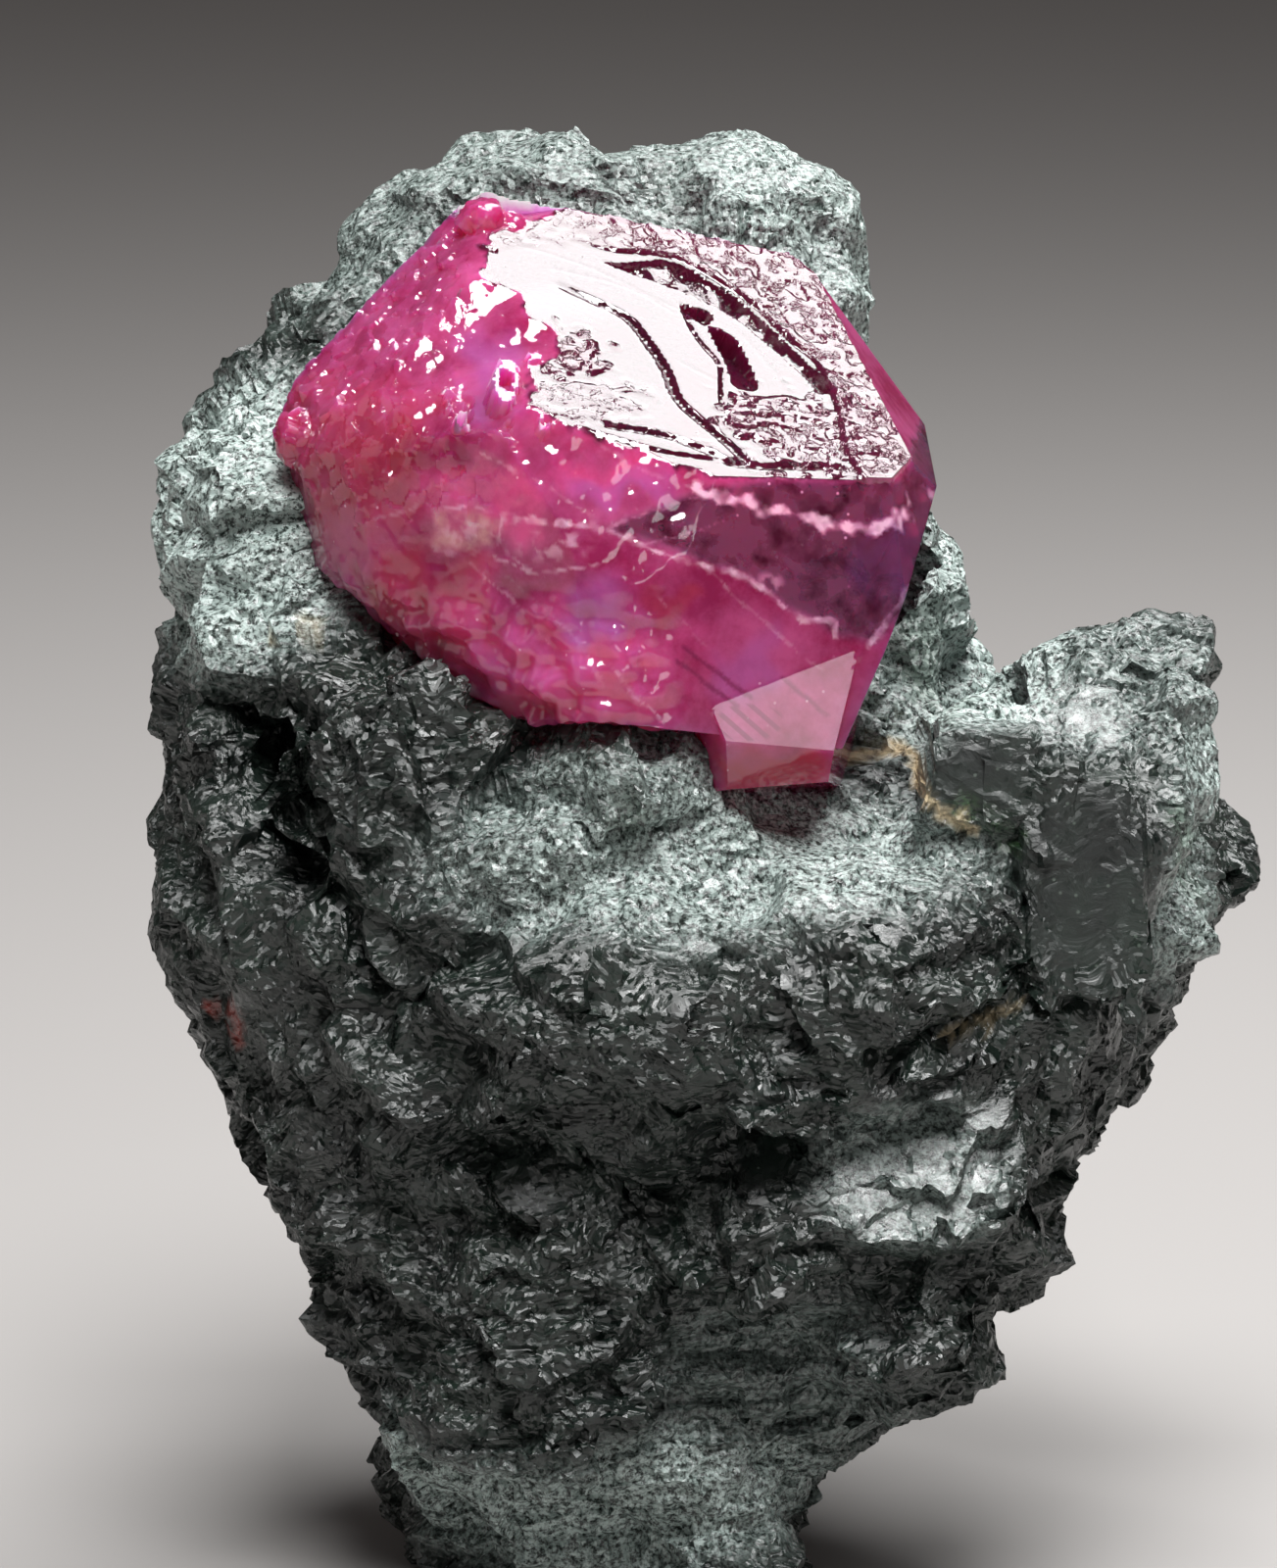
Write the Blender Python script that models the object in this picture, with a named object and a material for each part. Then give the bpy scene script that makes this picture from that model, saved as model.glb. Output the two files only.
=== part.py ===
"""A ruby crystal nested in a lump of dark amphibole rock, cut off flat at the foot so that it stands."""

import bmesh
import bpy
import numpy as np
from mathutils import Matrix, Vector

# The model is shaped in millimetres, as the whole specimen is under 3 cm, and scaled to metres at the end.
MILLIMETRE = 0.001
SOCKET_GAP = 0.25  # between the crystal and the rock around it
VOXEL = 0.3  # grain of the rough rock before it is faceted
ROCK_FACES = 7600  # triangles left in the rock
FOOT_HEIGHT = 0.0  # the rock is cut off flat here
STOCK = 40.0  # edge of the cube that each flat-faced block is cut from
CUT_TOLERANCE = 1e-4

# Rock: sections across it, from the foot up: height, left, right, front, back, squareness.
ROCK_SECTIONS = (
    (-0.8, -3.7, 2.2, -4.3, 3.2, 2.4),
    (1.0, -4.4, 2.9, -4.9, 3.9, 2.4),
    (2.8, -4.7, 4.0, -5.5, 4.7, 2.5),
    (5.2, -5.8, 6.1, -6.2, 5.5, 2.6),
    (7.2, -6.5, 7.5, -6.5, 6.1, 2.6),
    (9.0, -7.3, 8.6, -6.7, 6.7, 2.5),
    (10.8, -8.0, 9.3, -6.9, 7.1, 2.5),
    (12.8, -8.5, 8.9, -6.8, 7.3, 2.5),
    (14.6, -8.7, 7.2, -5.5, 7.3, 2.5),
    (16.2, -8.6, 6.0, -3.9, 7.1, 2.5),
    (17.8, -8.5, 5.5, -2.3, 6.9, 2.4),
    (19.4, -8.4, 4.9, -0.8, 6.7, 2.4),
    (21.4, -7.7, 4.4, 0.3, 6.4, 2.4),
    (23.0, -6.3, 4.2, 0.8, 6.1, 2.3),
    (24.2, -5.2, 3.7, 1.2, 5.7, 2.3),
    (25.1, -4.3, 2.6, 1.7, 5.2, 2.2),
    (25.8, -3.2, 1.3, 2.3, 4.6, 2.0),
)
RING_POINTS = 48

# Rounded masses grown onto the rock: centre, radii, turn about the vertical in degrees.
ROCK_LUMPS = {
    "central mound": ((0.9, -3.3, 11.7), (6.3, 5.2, 3.6), 0),
    "mound brow": ((3.6, -4.2, 12.2), (3.6, 4.4, 2.6), 12),
    "left shoulder": ((-3.9, -2.4, 14.9), (2.7, 4.2, 3.2), -8),
    "left shelf": ((-6.7, 0.6, 19.4), (1.8, 3.6, 1.8), 0),
    "left flank": ((-6.6, 0.2, 15.0), (1.9, 4.6, 5.2), 0),
    "lump under the crystal": ((-0.2, -5.5, 15.2), (1.6, 1.5, 1.4), 0),
    "saddle beside that lump": ((-1.7, -4.6, 14.3), (1.7, 2.2, 1.7), 0),
    "lump behind the crystal": ((4.7, 1.2, 17.0), (1.3, 2.4, 2.2), 0),
    "left top lobe": ((-2.5, 3.9, 24.9), (1.2, 1.9, 1.1), 0),
    "right top lobe": ((1.0, 3.6, 24.4), (2.8, 2.1, 1.6), 0),
    "lower front": ((-1.0, -3.6, 5.8), (4.0, 3.4, 4.4), 0),
    "lower right": ((3.7, -2.8, 7.4), (3.5, 3.9, 2.8), 20),
    "back": ((0.5, 4.2, 12.0), (6.5, 3.9, 8.5), 0),
}

# Amphibole crystals and blocks in the rock, each cut by flat faces: (outward direction, a point on the face).
ROCK_BLOCKS = {
    "right block": (
        ((-0.14, -0.38, 0.91), (9.0, -3.5, 16.85)),
        ((-0.05, 0.5, 0.86), (9.0, -0.9, 17.85)),
        ((-0.12, -0.99, -0.02), (8.2, -6.1, 14.0)),
        ((0.62, -0.78, -0.1), (9.3, -5.6, 14.0)),
        ((0.96, -0.1, -0.25), (10.2, -1.5, 16.5)),
        ((-0.93, -0.2, 0.3), (6.95, -4.0, 14.5)),
        ((0.15, 0.99, 0.0), (9.0, 1.4, 16.0)),
        ((0.25, -0.35, -0.9), (8.8, -5.0, 9.6)),
    ),
    "right flange": (
        ((0.1, 0.0, 0.99), (9.0, 0.8, 14.0)),
        ((0.72, -0.25, 0.65), (10.6, 0.8, 13.1)),
        ((0.98, -0.2, 0.1), (11.0, 0.8, 12.4)),
        ((0.83, -0.25, -0.5), (10.1, 0.8, 10.9)),
        ((0.3, -0.95, 0.0), (9.8, -1.6, 12.0)),
        ((0.2, 0.98, 0.0), (9.5, 3.4, 12.0)),
        ((-1.0, 0.0, 0.0), (6.0, 0.0, 12.0)),
        ((0.0, 0.2, -0.98), (8.0, 0.0, 7.4)),
    ),
    "small dark crystal": (
        ((0.0, -0.5, 0.87), (6.3, -5.8, 15.9)),
        ((-0.5, -0.85, 0.1), (5.9, -6.5, 15.0)),
        ((0.5, -0.85, -0.1), (6.9, -6.6, 15.0)),
        ((-0.9, -0.1, 0.3), (5.1, -5.5, 15.2)),
        ((0.9, 0.0, 0.3), (7.5, -5.5, 15.0)),
        ((-0.1, -0.35, -0.93), (6.4, -6.2, 13.8)),
        ((0.0, 1.0, 0.0), (6.3, -3.0, 15.0)),
    ),
    "shoulder edge": (
        ((-0.97, -0.2, 0.1), (-6.2, -4.0, 17.0)),
        ((-0.45, -0.85, 0.25), (-5.4, -5.2, 16.6)),
        ((0.5, -0.8, 0.3), (-3.4, -5.9, 16.2)),
        ((-0.2, -0.3, 0.93), (-5.0, -3.4, 18.2)),
        ((0.9, 0.0, 0.4), (-1.8, -4.0, 16.2)),
        ((0.0, 1.0, 0.0), (-4.0, 0.5, 16.0)),
        ((-0.5, -0.5, -0.7), (-5.6, -4.6, 13.0)),
    ),
    "shelf blade": (
        ((-0.2, -0.35, 0.91), (-6.4, -2.0, 18.35)),
        ((0.2, -0.3, -0.93), (-6.0, -2.6, 17.6)),
        ((-0.98, -0.2, 0.0), (-7.2, -2.6, 18.0)),
        ((0.55, -0.83, 0.0), (-5.5, -3.1, 18.1)),
        ((1.0, 0.0, 0.0), (-4.6, -1.0, 18.0)),
        ((0.0, 1.0, 0.0), (-6.0, 1.5, 18.0)),
    ),
    "streaked plate": (
        ((-0.15, -0.72, 0.68), (5.6, -6.9, 9.0)),
        ((-0.7, -0.6, -0.3), (3.8, -7.1, 8.4)),
        ((0.95, -0.3, -0.1), (7.1, -6.0, 9.2)),
        ((0.1, -0.5, -0.86), (5.6, -7.0, 7.8)),
        ((0.0, 1.0, 0.0), (5.6, -3.5, 9.0)),
        ((0.0, 0.3, 0.95), (5.6, -5.0, 10.4)),
    ),
    "lower plates": (
        ((0.05, -0.86, 0.5), (5.2, -6.9, 6.6)),
        ((0.95, -0.3, -0.1), (6.1, -6.1, 6.4)),
        ((-0.8, -0.6, 0.0), (3.9, -6.7, 6.4)),
        ((0.2, -0.5, -0.84), (5.0, -6.9, 5.4)),
        ((0.0, 1.0, 0.0), (5.0, -4.8, 6.4)),
        ((0.0, 0.0, 1.0), (5.2, -5.0, 7.9)),
    ),
    "twin facets": (
        ((0.25, -0.7, 0.67), (2.3, -7.5, 8.1)),
        ((-0.6, -0.75, 0.25), (1.6, -7.6, 7.9)),
        ((0.8, -0.6, -0.1), (3.3, -7.3, 7.6)),
        ((0.0, -0.5, -0.86), (2.4, -7.4, 6.8)),
        ((0.0, 1.0, 0.0), (2.4, -5.0, 7.6)),
        ((0.0, 0.2, 0.98), (2.4, -5.0, 8.9)),
    ),
    "left cleavage block": (
        ((-0.35, -0.92, 0.18), (-2.0, -7.1, 7.0)),
        ((0.7, -0.7, 0.1), (-1.1, -7.2, 6.6)),
        ((-0.85, -0.5, 0.1), (-3.0, -6.6, 6.8)),
        ((0.0, -0.3, 0.95), (-2.0, -6.4, 8.4)),
        ((0.1, -0.5, -0.86), (-2.0, -6.9, 5.2)),
        ((0.0, 1.0, 0.0), (-2.0, -4.8, 7.0)),
    ),
    "middle cleavage block": (
        ((0.15, -0.97, 0.2), (-0.8, -7.2, 5.6)),
        ((-0.85, -0.5, 0.1), (-1.6, -6.9, 5.6)),
        ((0.85, -0.5, 0.1), (0.2, -6.9, 5.4)),
        ((0.0, -0.4, 0.9), (-0.8, -6.8, 6.9)),
        ((0.0, -0.5, -0.86), (-0.8, -7.0, 4.5)),
        ((0.0, 1.0, 0.0), (-0.8, -4.8, 5.6)),
    ),
    "foot cleavage block": (
        ((0.2, -0.96, 0.2), (1.6, -5.9, 1.8)),
        ((-0.8, -0.6, 0.0), (0.6, -5.7, 1.8)),
        ((0.97, -0.25, 0.0), (2.5, -5.4, 1.9)),
        ((0.1, -0.4, 0.9), (1.6, -5.4, 3.0)),
        ((0.0, -0.5, -0.86), (1.6, -5.6, 0.4)),
        ((0.0, 1.0, 0.0), (1.6, -3.6, 1.8)),
    ),
}

# Hollows in the rock: centre and radii of what is missing.
ROCK_HOLLOWS = {
    "shadow under the blade": ((-6.9, -4.2, 15.9), (0.9, 1.3, 1.4)),
    "flank hole": ((-6.3, -5.0, 14.0), (0.9, 1.4, 0.9)),
    "groove beside the block": ((6.95, -7.4, 12.4), (0.3, 1.3, 2.4)),
    "slit under the brow": ((3.8, -8.2, 9.9), (3.6, 1.3, 0.42)),
    "lower groove": ((-4.0, -6.4, 3.4), (0.3, 1.2, 1.3)),
    "left lower groove": ((-3.0, -6.9, 4.2), (0.35, 1.0, 0.6)),
}

# Flat breaks over the whole rock, coarse then fine: distance between them, tilt, depth, farthest shift, seed.
ROCK_BREAKS = ((2.1, 0.16, 0.12, 0.45, 7), (0.95, 0.2, 0.07, 0.22, 11))
POINTS_AT_ONCE = 4000  # when the break nearest to each point is looked for

# Horizontal ledges in the layered lower part.
LEDGE_TOP = 7.5
LEDGE_FADE = 2.0  # height over which they die out below that
LEDGE_STEP = 0.75
LEDGE_DEPTH = 0.28
LEDGE_SET_BACK = 0.6  # share of the step at which a ledge is level with the rock around it
LEDGE_WAVES = ((0.35, 1.1, 0.6), (0.2, 1.7, 0.0))  # along x and along y: height, turns per mm, start

# Crystal: the flat faces of its two intergrown bodies: (outward direction, a point on the face).
MIRROR_FACE = ((0.23, -0.494, 0.839), (0.69, -3.0, 23.15))
CRYSTAL_BODIES = (
    (
        MIRROR_FACE,
        ((-0.51, -0.86, 0.02), (-1.1, -6.5, 17.2)),
        ((0.24, -0.97, 0.07), (-0.58, -6.6, 21.08)),
        ((0.165, -0.81, 0.565), (-0.03, -5.62, 21.8)),
        ((-0.62, -0.68, 0.38), (-4.25, -4.26, 22.1)),
        ((-0.86, -0.38, 0.33), (-6.0, -2.3, 21.68)),
        ((-0.78, -0.62, -0.07), (-5.22, -3.73, 20.0)),
        ((-0.63, -0.65, -0.42), (-4.0, -4.55, 18.48)),
        ((-0.59, -0.37, 0.72), (-3.2, -5.8, 22.5)),
        ((-0.93, -0.33, -0.15), (-6.15, -2.4, 21.3)),
        ((0.78, -0.1, 0.6), (4.75, -2.5, 22.1)),
        ((0.87, -0.25, -0.41), (5.4, -3.0, 20.8)),
        ((0.0, 0.93, 0.36), (0.0, -0.2, 25.0)),
        ((-0.55, 0.8, 0.25), (-4.0, -0.5, 24.3)),
        ((0.6, 0.75, 0.3), (3.8, -0.2, 22.8)),
        ((-0.68, -0.3, -0.66), (-4.4, -4.5, 18.6)),
        ((-0.1, -0.25, -0.96), (0.0, -5.5, 16.75)),
        ((-0.35, 0.1, -0.93), (-3.0, -3.0, 17.4)),
    ),
    (
        ((0.3, -0.93, 0.22), (2.5, -6.35, 17.1)),
        ((-0.8, -0.55, -0.25), (1.45, -6.2, 16.6)),
        ((0.95, -0.15, -0.2), (3.75, -5.0, 17.2)),
        ((0.08, -0.25, -0.96), (2.6, -5.6, 15.75)),
        ((0.1, 0.1, 0.99), (2.5, -5.0, 18.9)),
        ((0.0, 1.0, 0.0), (2.5, -2.2, 17.0)),
    ),
)

# On the mirror face, in its own plane: across to the right and up the slope from its middle.
TERRACE = ((-2.0, 3.3), (-0.5, 3.1), (-1.4, 1.7), (-0.5, 0.75), (-0.4, -0.55), (-0.45, -1.6), (-0.2, -2.4),
           (0.1, -2.9), (-1.7, -2.2), (-3.0, -1.4), (-2.9, -0.2), (-2.7, 1.6))
TERRACE_HEIGHT = 0.1
RIM = ((0.2, 3.3), (2.6, 1.6), (3.15, 0.2), (3.15, -2.4), (2.5, -3.4), (2.35, -2.0), (2.35, 0.0), (1.9, 1.0),
       (0.0, 2.6))
RIM_HEIGHT = 0.18
LIP = ((-2.0, -2.1), (-0.4, -3.2), (1.2, -4.3), (2.4, -4.2), (2.5, -3.75), (1.3, -3.85), (-0.3, -2.75),
       (-1.8, -1.8))
LIP_HEIGHT = 0.12
GROOVE = ((-0.3, 2.45), (0.6, 1.75), (1.5, 0.7), (2.2, -0.8), (1.95, -0.9), (1.2, 0.35), (0.4, 1.35),
          (-0.35, 2.15))
GROOVE_DEPTH = 0.3
LEAF_PITS = (
    ((0.45, 1.25), (0.85, 0.95), (0.95, 0.55), (0.6, 0.8)),
    ((0.75, 0.2), (1.0, -0.1), (1.2, -0.7), (1.0, -1.45), (0.75, -0.9)),
)
PIT_DEPTH = 0.25
ROOT_DEPTH = 0.5  # how far the raised areas reach into the crystal
CUTTER_HEIGHT = 1.0

# Small bodies of the same crystal: centre and radius.
APEX_KNOB = ((-2.75, -0.9, 25.35), 0.5)
SIDE_BUD = ((-6.0, -2.3, 21.4), 0.5)

RUBY_COLOUR = (0.62, 0.03, 0.17)
RUBY_ROUGHNESS = 0.15
RUBY_TRANSMISSION = 0.5
RUBY_IOR = 1.77
ROCK_COLOUR = (0.045, 0.06, 0.052)
ROCK_ROUGHNESS = 0.5


def clear_scene():
    for thing in list(bpy.data.objects):
        bpy.data.objects.remove(thing, do_unlink=True)


def new_object(name, mesh):
    thing = bpy.data.objects.new(name, mesh)
    bpy.context.scene.collection.objects.link(thing)
    return thing


def object_from(name, bm):
    bmesh.ops.recalc_face_normals(bm, faces=bm.faces)
    mesh = bpy.data.meshes.new(name)
    bm.to_mesh(mesh)
    bm.free()
    return new_object(name, mesh)


def settle(thing):
    """Replaces an object's mesh with what its modifiers make of it."""
    bpy.context.view_layer.update()
    graph = bpy.context.evaluated_depsgraph_get()
    mesh = bpy.data.meshes.new_from_object(thing.evaluated_get(graph))
    thing.modifiers.clear()
    thing.data = mesh


def combine(thing, tool, operation):
    """Adds the tool's volume to the object or takes it away, and removes the tool."""
    step = thing.modifiers.new(operation.title(), "BOOLEAN")
    step.operation = operation
    step.solver = "EXACT"
    step.object = tool
    settle(thing)
    bpy.data.objects.remove(tool, do_unlink=True)


def cut_away(bm, point, outward):
    """Removes what lies outside a plane, and returns the edges of the cut."""
    everything = bm.verts[:] + bm.edges[:] + bm.faces[:]
    cut = bmesh.ops.bisect_plane(
        bm, geom=everything, dist=CUT_TOLERANCE, plane_co=point, plane_no=outward, clear_outer=True
    )
    return [part for part in cut["geom_cut"] if isinstance(part, bmesh.types.BMEdge)]


def block(name, faces, grow=0.0):
    """A convex solid cut out of a large cube by flat faces, each moved outwards by grow."""
    bm = bmesh.new()
    centre = sum((Vector(point) for _, point in faces), Vector()) / len(faces)
    bmesh.ops.create_cube(bm, size=STOCK, matrix=Matrix.Translation(centre))
    for direction, point in faces:
        outward = Vector(direction).normalized()
        rim = cut_away(bm, Vector(point) + outward * grow, outward)
        if rim:
            bmesh.ops.edgeloop_fill(bm, edges=rim)
    return object_from(name, bm)


def ellipsoid(name, centre, radii, turn=0.0, detail=3):
    bm = bmesh.new()
    turned = Matrix.Translation(centre) @ Matrix.Rotation(np.radians(turn), 4, "Z")
    shape = turned @ Matrix.Diagonal((*radii, 1.0))
    bmesh.ops.create_icosphere(bm, subdivisions=detail, radius=1.0, matrix=shape)
    return object_from(name, bm)


def ring_of(bm, height, left, right, front, back, squareness):
    """One section of the rock: a rounded rectangle of points at one height."""
    ring = []
    for step in range(RING_POINTS):
        angle = 2 * np.pi * step / RING_POINTS
        across = np.sign(np.cos(angle)) * abs(np.cos(angle)) ** (2 / squareness)
        deep = np.sign(np.sin(angle)) * abs(np.sin(angle)) ** (2 / squareness)
        x = (left + right) / 2 + across * (right - left) / 2
        y = (front + back) / 2 + deep * (back - front) / 2
        ring.append(bm.verts.new((x, y, height)))
    return ring


def rock_core():
    bm = bmesh.new()
    rings = [ring_of(bm, *section) for section in ROCK_SECTIONS]
    for lower, upper in zip(rings, rings[1:]):
        for step in range(RING_POINTS):
            after = (step + 1) % RING_POINTS
            bm.faces.new((lower[step], lower[after], upper[after], upper[step]))
    bm.faces.new(rings[0][::-1])
    bm.faces.new(rings[-1])
    return object_from("rock core", bm)


def merged(name, pieces):
    """One object that holds the meshes of all the pieces, still overlapping."""
    bm = bmesh.new()
    for piece in pieces:
        bm.from_mesh(piece.data)
        bpy.data.objects.remove(piece, do_unlink=True)
    mesh = bpy.data.meshes.new(name)
    bm.to_mesh(mesh)
    bm.free()
    return new_object(name, mesh)


def remesh(thing, voxel):
    step = thing.modifiers.new("Remesh", "REMESH")
    step.mode = "VOXEL"
    step.voxel_size = voxel
    settle(thing)


def points_and_normals(mesh):
    points = np.empty(len(mesh.vertices) * 3, np.float32)
    normals = np.empty(len(mesh.vertices) * 3, np.float32)
    mesh.vertices.foreach_get("co", points)
    mesh.vertices.foreach_get("normal", normals)
    return points.reshape(-1, 3).astype(float), normals.reshape(-1, 3).astype(float)


def scattered(points, spacing, chance):
    """Indices of points that are at least spacing apart, in random order."""
    chosen = []
    for index in chance.permutation(len(points)):
        if not chosen or np.linalg.norm(points[chosen] - points[index], axis=1).min() > spacing:
            chosen.append(index)
    return np.array(chosen)


def facet(points, normals, spacing, tilt, depth, reach, seed):
    """Moves each point onto the flat, slightly tilted break nearest to it."""
    chance = np.random.default_rng(seed)
    chosen = scattered(points, spacing, chance)
    centres = points[chosen]
    facing = normals[chosen] + chance.normal(0.0, tilt, (len(chosen), 3))
    facing /= np.linalg.norm(facing, axis=1)[:, None]
    sunk = chance.uniform(-depth, depth, len(chosen))
    nearest = np.empty(len(points), int)
    for start in range(0, len(points), POINTS_AT_ONCE):
        part = slice(start, start + POINTS_AT_ONCE)
        nearest[part] = np.linalg.norm(points[part, None] - centres[None], axis=2).argmin(axis=1)
    rise = np.einsum("ij,ij->i", facing[nearest], centres[nearest] - points) + sunk[nearest]
    return points + facing[nearest] * np.clip(rise, -reach, reach)[:, None]


def ledged(points, normals):
    """Cuts horizontal ledges into the lower part, each with a sharp upper edge."""
    level = points[:, 2].copy()
    for axis, (height, turns, start) in enumerate(LEDGE_WAVES):
        level += height * np.sin(points[:, axis] * turns + start)
    phase = level / LEDGE_STEP % 1.0
    strength = np.clip((LEDGE_TOP - points[:, 2]) / LEDGE_FADE, 0.0, 1.0)
    outward = normals * np.array([1.0, 1.0, 0.0])
    return points + outward * ((phase - LEDGE_SET_BACK) * LEDGE_DEPTH * strength)[:, None]


def roughen(thing):
    mesh = thing.data
    for spacing, tilt, depth, reach, seed in ROCK_BREAKS:
        points, normals = points_and_normals(mesh)
        mesh.vertices.foreach_set("co", facet(points, normals, spacing, tilt, depth, reach, seed).ravel())
        mesh.update()
    points, normals = points_and_normals(mesh)
    mesh.vertices.foreach_set("co", ledged(points, normals).ravel())
    mesh.update()


def thin_out(thing, faces_left):
    triangles = sum(len(face.vertices) - 2 for face in thing.data.polygons)
    step = thing.modifiers.new("Decimate", "DECIMATE")
    step.ratio = faces_left / triangles
    settle(thing)


def cut_flat(thing, height):
    """Cuts the foot off flat, so that the specimen stands."""
    bm = bmesh.new()
    bm.from_mesh(thing.data)
    rim = cut_away(bm, Vector((0, 0, height)), Vector((0, 0, -1)))
    bmesh.ops.holes_fill(bm, edges=rim, sides=0)
    bmesh.ops.triangulate(bm, faces=bm.faces)
    bm.to_mesh(thing.data)
    bm.free()


def keep_largest(thing):
    """Drops crumbs that the cuts left loose."""
    bm = bmesh.new()
    bm.from_mesh(thing.data)
    waiting = set(bm.verts)
    largest = set()
    while waiting:
        island = set()
        edge_of_search = [waiting.pop()]
        while edge_of_search:
            corner = edge_of_search.pop()
            island.add(corner)
            for edge in corner.link_edges:
                other = edge.other_vert(corner)
                if other in waiting:
                    waiting.discard(other)
                    edge_of_search.append(other)
        if len(island) > len(largest):
            largest = island
    bmesh.ops.delete(bm, geom=[corner for corner in bm.verts if corner not in largest], context="VERTS")
    bm.to_mesh(thing.data)
    bm.free()


def crystal_pieces(grow=0.0):
    """The convex pieces whose union is the crystal, each moved outwards by grow."""
    pieces = [block("crystal body", faces, grow) for faces in CRYSTAL_BODIES]
    for centre, radius in (APEX_KNOB, SIDE_BUD):
        pieces.append(ellipsoid("bud", centre, (radius + grow,) * 3, detail=1))
    return pieces


def on_mirror_face(outline, bottom, top):
    """A flat prism on the mirror face, between two heights above it."""
    outward = Vector(MIRROR_FACE[0]).normalized()
    across = Vector((-outward.y, outward.x, 0)).normalized()
    up_slope = outward.cross(across)
    bm = bmesh.new()
    corners = []
    for height in (bottom, top):
        middle = Vector(MIRROR_FACE[1]) + outward * height
        corners.append([bm.verts.new(middle + across * u + up_slope * v) for u, v in outline])
    for step in range(len(outline)):
        after = (step + 1) % len(outline)
        bm.faces.new((corners[0][step], corners[0][after], corners[1][after], corners[1][step]))
    bm.faces.new(corners[0][::-1])
    bm.faces.new(corners[1])
    return object_from("prism", bm)


def make_crystal():
    first, *others = crystal_pieces()
    first.name = "ruby_crystal"
    for piece in others:
        combine(first, piece, "UNION")
    for outline, height in ((TERRACE, TERRACE_HEIGHT), (RIM, RIM_HEIGHT), (LIP, LIP_HEIGHT)):
        combine(first, on_mirror_face(outline, -ROOT_DEPTH, height), "UNION")
    combine(first, on_mirror_face(GROOVE, -GROOVE_DEPTH, CUTTER_HEIGHT), "DIFFERENCE")
    for outline in LEAF_PITS:
        combine(first, on_mirror_face(outline, -PIT_DEPTH, CUTTER_HEIGHT), "DIFFERENCE")
    return first


def make_rock():
    pieces = [rock_core()]
    pieces += [ellipsoid(name, *shape) for name, shape in ROCK_LUMPS.items()]
    pieces += [block(name, faces) for name, faces in ROCK_BLOCKS.items()]
    rock = merged("matrix", pieces)
    remesh(rock, VOXEL)
    for name, (centre, radii) in ROCK_HOLLOWS.items():
        combine(rock, ellipsoid(name, centre, radii, detail=2), "DIFFERENCE")
    remesh(rock, VOXEL)
    roughen(rock)
    thin_out(rock, ROCK_FACES)
    cut_flat(rock, FOOT_HEIGHT)
    for piece in crystal_pieces(SOCKET_GAP):
        combine(rock, piece, "DIFFERENCE")
    keep_largest(rock)
    return rock


def centre_on_origin(things):
    """Puts the middle of the specimen over the origin, and turns millimetres into metres."""
    corners = np.array([point.co for thing in things for point in thing.data.vertices])
    middle = (corners.min(axis=0) + corners.max(axis=0)) / 2
    to_middle = Matrix.Translation((-middle[0], -middle[1], 0.0))
    for thing in things:
        thing.data.transform(Matrix.Scale(MILLIMETRE, 4) @ to_middle)


def paint(thing, colour, roughness, transmission=0.0, ior=1.5):
    material = bpy.data.materials.new(thing.name)
    material.use_nodes = True
    surface = material.node_tree.nodes["Principled BSDF"]
    surface.inputs["Base Color"].default_value = (*colour, 1.0)
    surface.inputs["Roughness"].default_value = roughness
    surface.inputs["Metallic"].default_value = 0.0
    surface.inputs["Transmission Weight"].default_value = transmission
    surface.inputs["IOR"].default_value = ior
    thing.data.materials.clear()
    thing.data.materials.append(material)


def main():
    clear_scene()
    crystal = make_crystal()
    rock = make_rock()
    centre_on_origin((crystal, rock))
    paint(crystal, RUBY_COLOUR, RUBY_ROUGHNESS, RUBY_TRANSMISSION, RUBY_IOR)
    paint(rock, ROCK_COLOUR, ROCK_ROUGHNESS)


main()
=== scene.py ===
"""Ruby crystal in dark amphibole rock: fine surfaces, materials, light and camera around the solids."""

import bmesh
import bpy
import numpy as np
from mathutils import Matrix, Vector, kdtree


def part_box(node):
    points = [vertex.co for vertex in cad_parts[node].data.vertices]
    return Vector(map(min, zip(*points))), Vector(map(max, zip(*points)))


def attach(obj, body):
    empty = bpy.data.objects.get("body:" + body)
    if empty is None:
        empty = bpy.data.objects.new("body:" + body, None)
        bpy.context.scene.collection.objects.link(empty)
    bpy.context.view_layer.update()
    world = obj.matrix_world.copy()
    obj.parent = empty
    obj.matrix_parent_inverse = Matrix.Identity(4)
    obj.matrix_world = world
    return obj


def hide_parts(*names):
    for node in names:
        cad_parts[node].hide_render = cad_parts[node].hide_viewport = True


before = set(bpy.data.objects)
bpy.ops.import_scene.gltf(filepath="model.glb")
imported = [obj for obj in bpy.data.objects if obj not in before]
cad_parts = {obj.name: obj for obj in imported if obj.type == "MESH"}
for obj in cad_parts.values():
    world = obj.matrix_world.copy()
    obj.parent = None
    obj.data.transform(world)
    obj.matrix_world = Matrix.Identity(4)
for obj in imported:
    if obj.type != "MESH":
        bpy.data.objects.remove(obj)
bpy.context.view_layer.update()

# Everything is shaped in millimetres, in the frame in which the specimen was measured, and scaled at the end.
MM = 0.001
CRYSTAL_CORNER = (5.943, 3.329)  # right and rear limits of the crystal in that frame
crystal_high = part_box("ruby_crystal")[1]
MIDDLE = np.array([CRYSTAL_CORNER[0] - crystal_high.x / MM, CRYSTAL_CORNER[1] - crystal_high.y / MM, 0.0])

# The camera aims at this height of the middle, tilted down, from this far.
VIEW_HEIGHT = 14.6
VIEW_TILT = np.radians(12.0)
VIEW_DISTANCE = 130.0
FRONT = -6.0  # depth of the crystal's front

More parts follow.
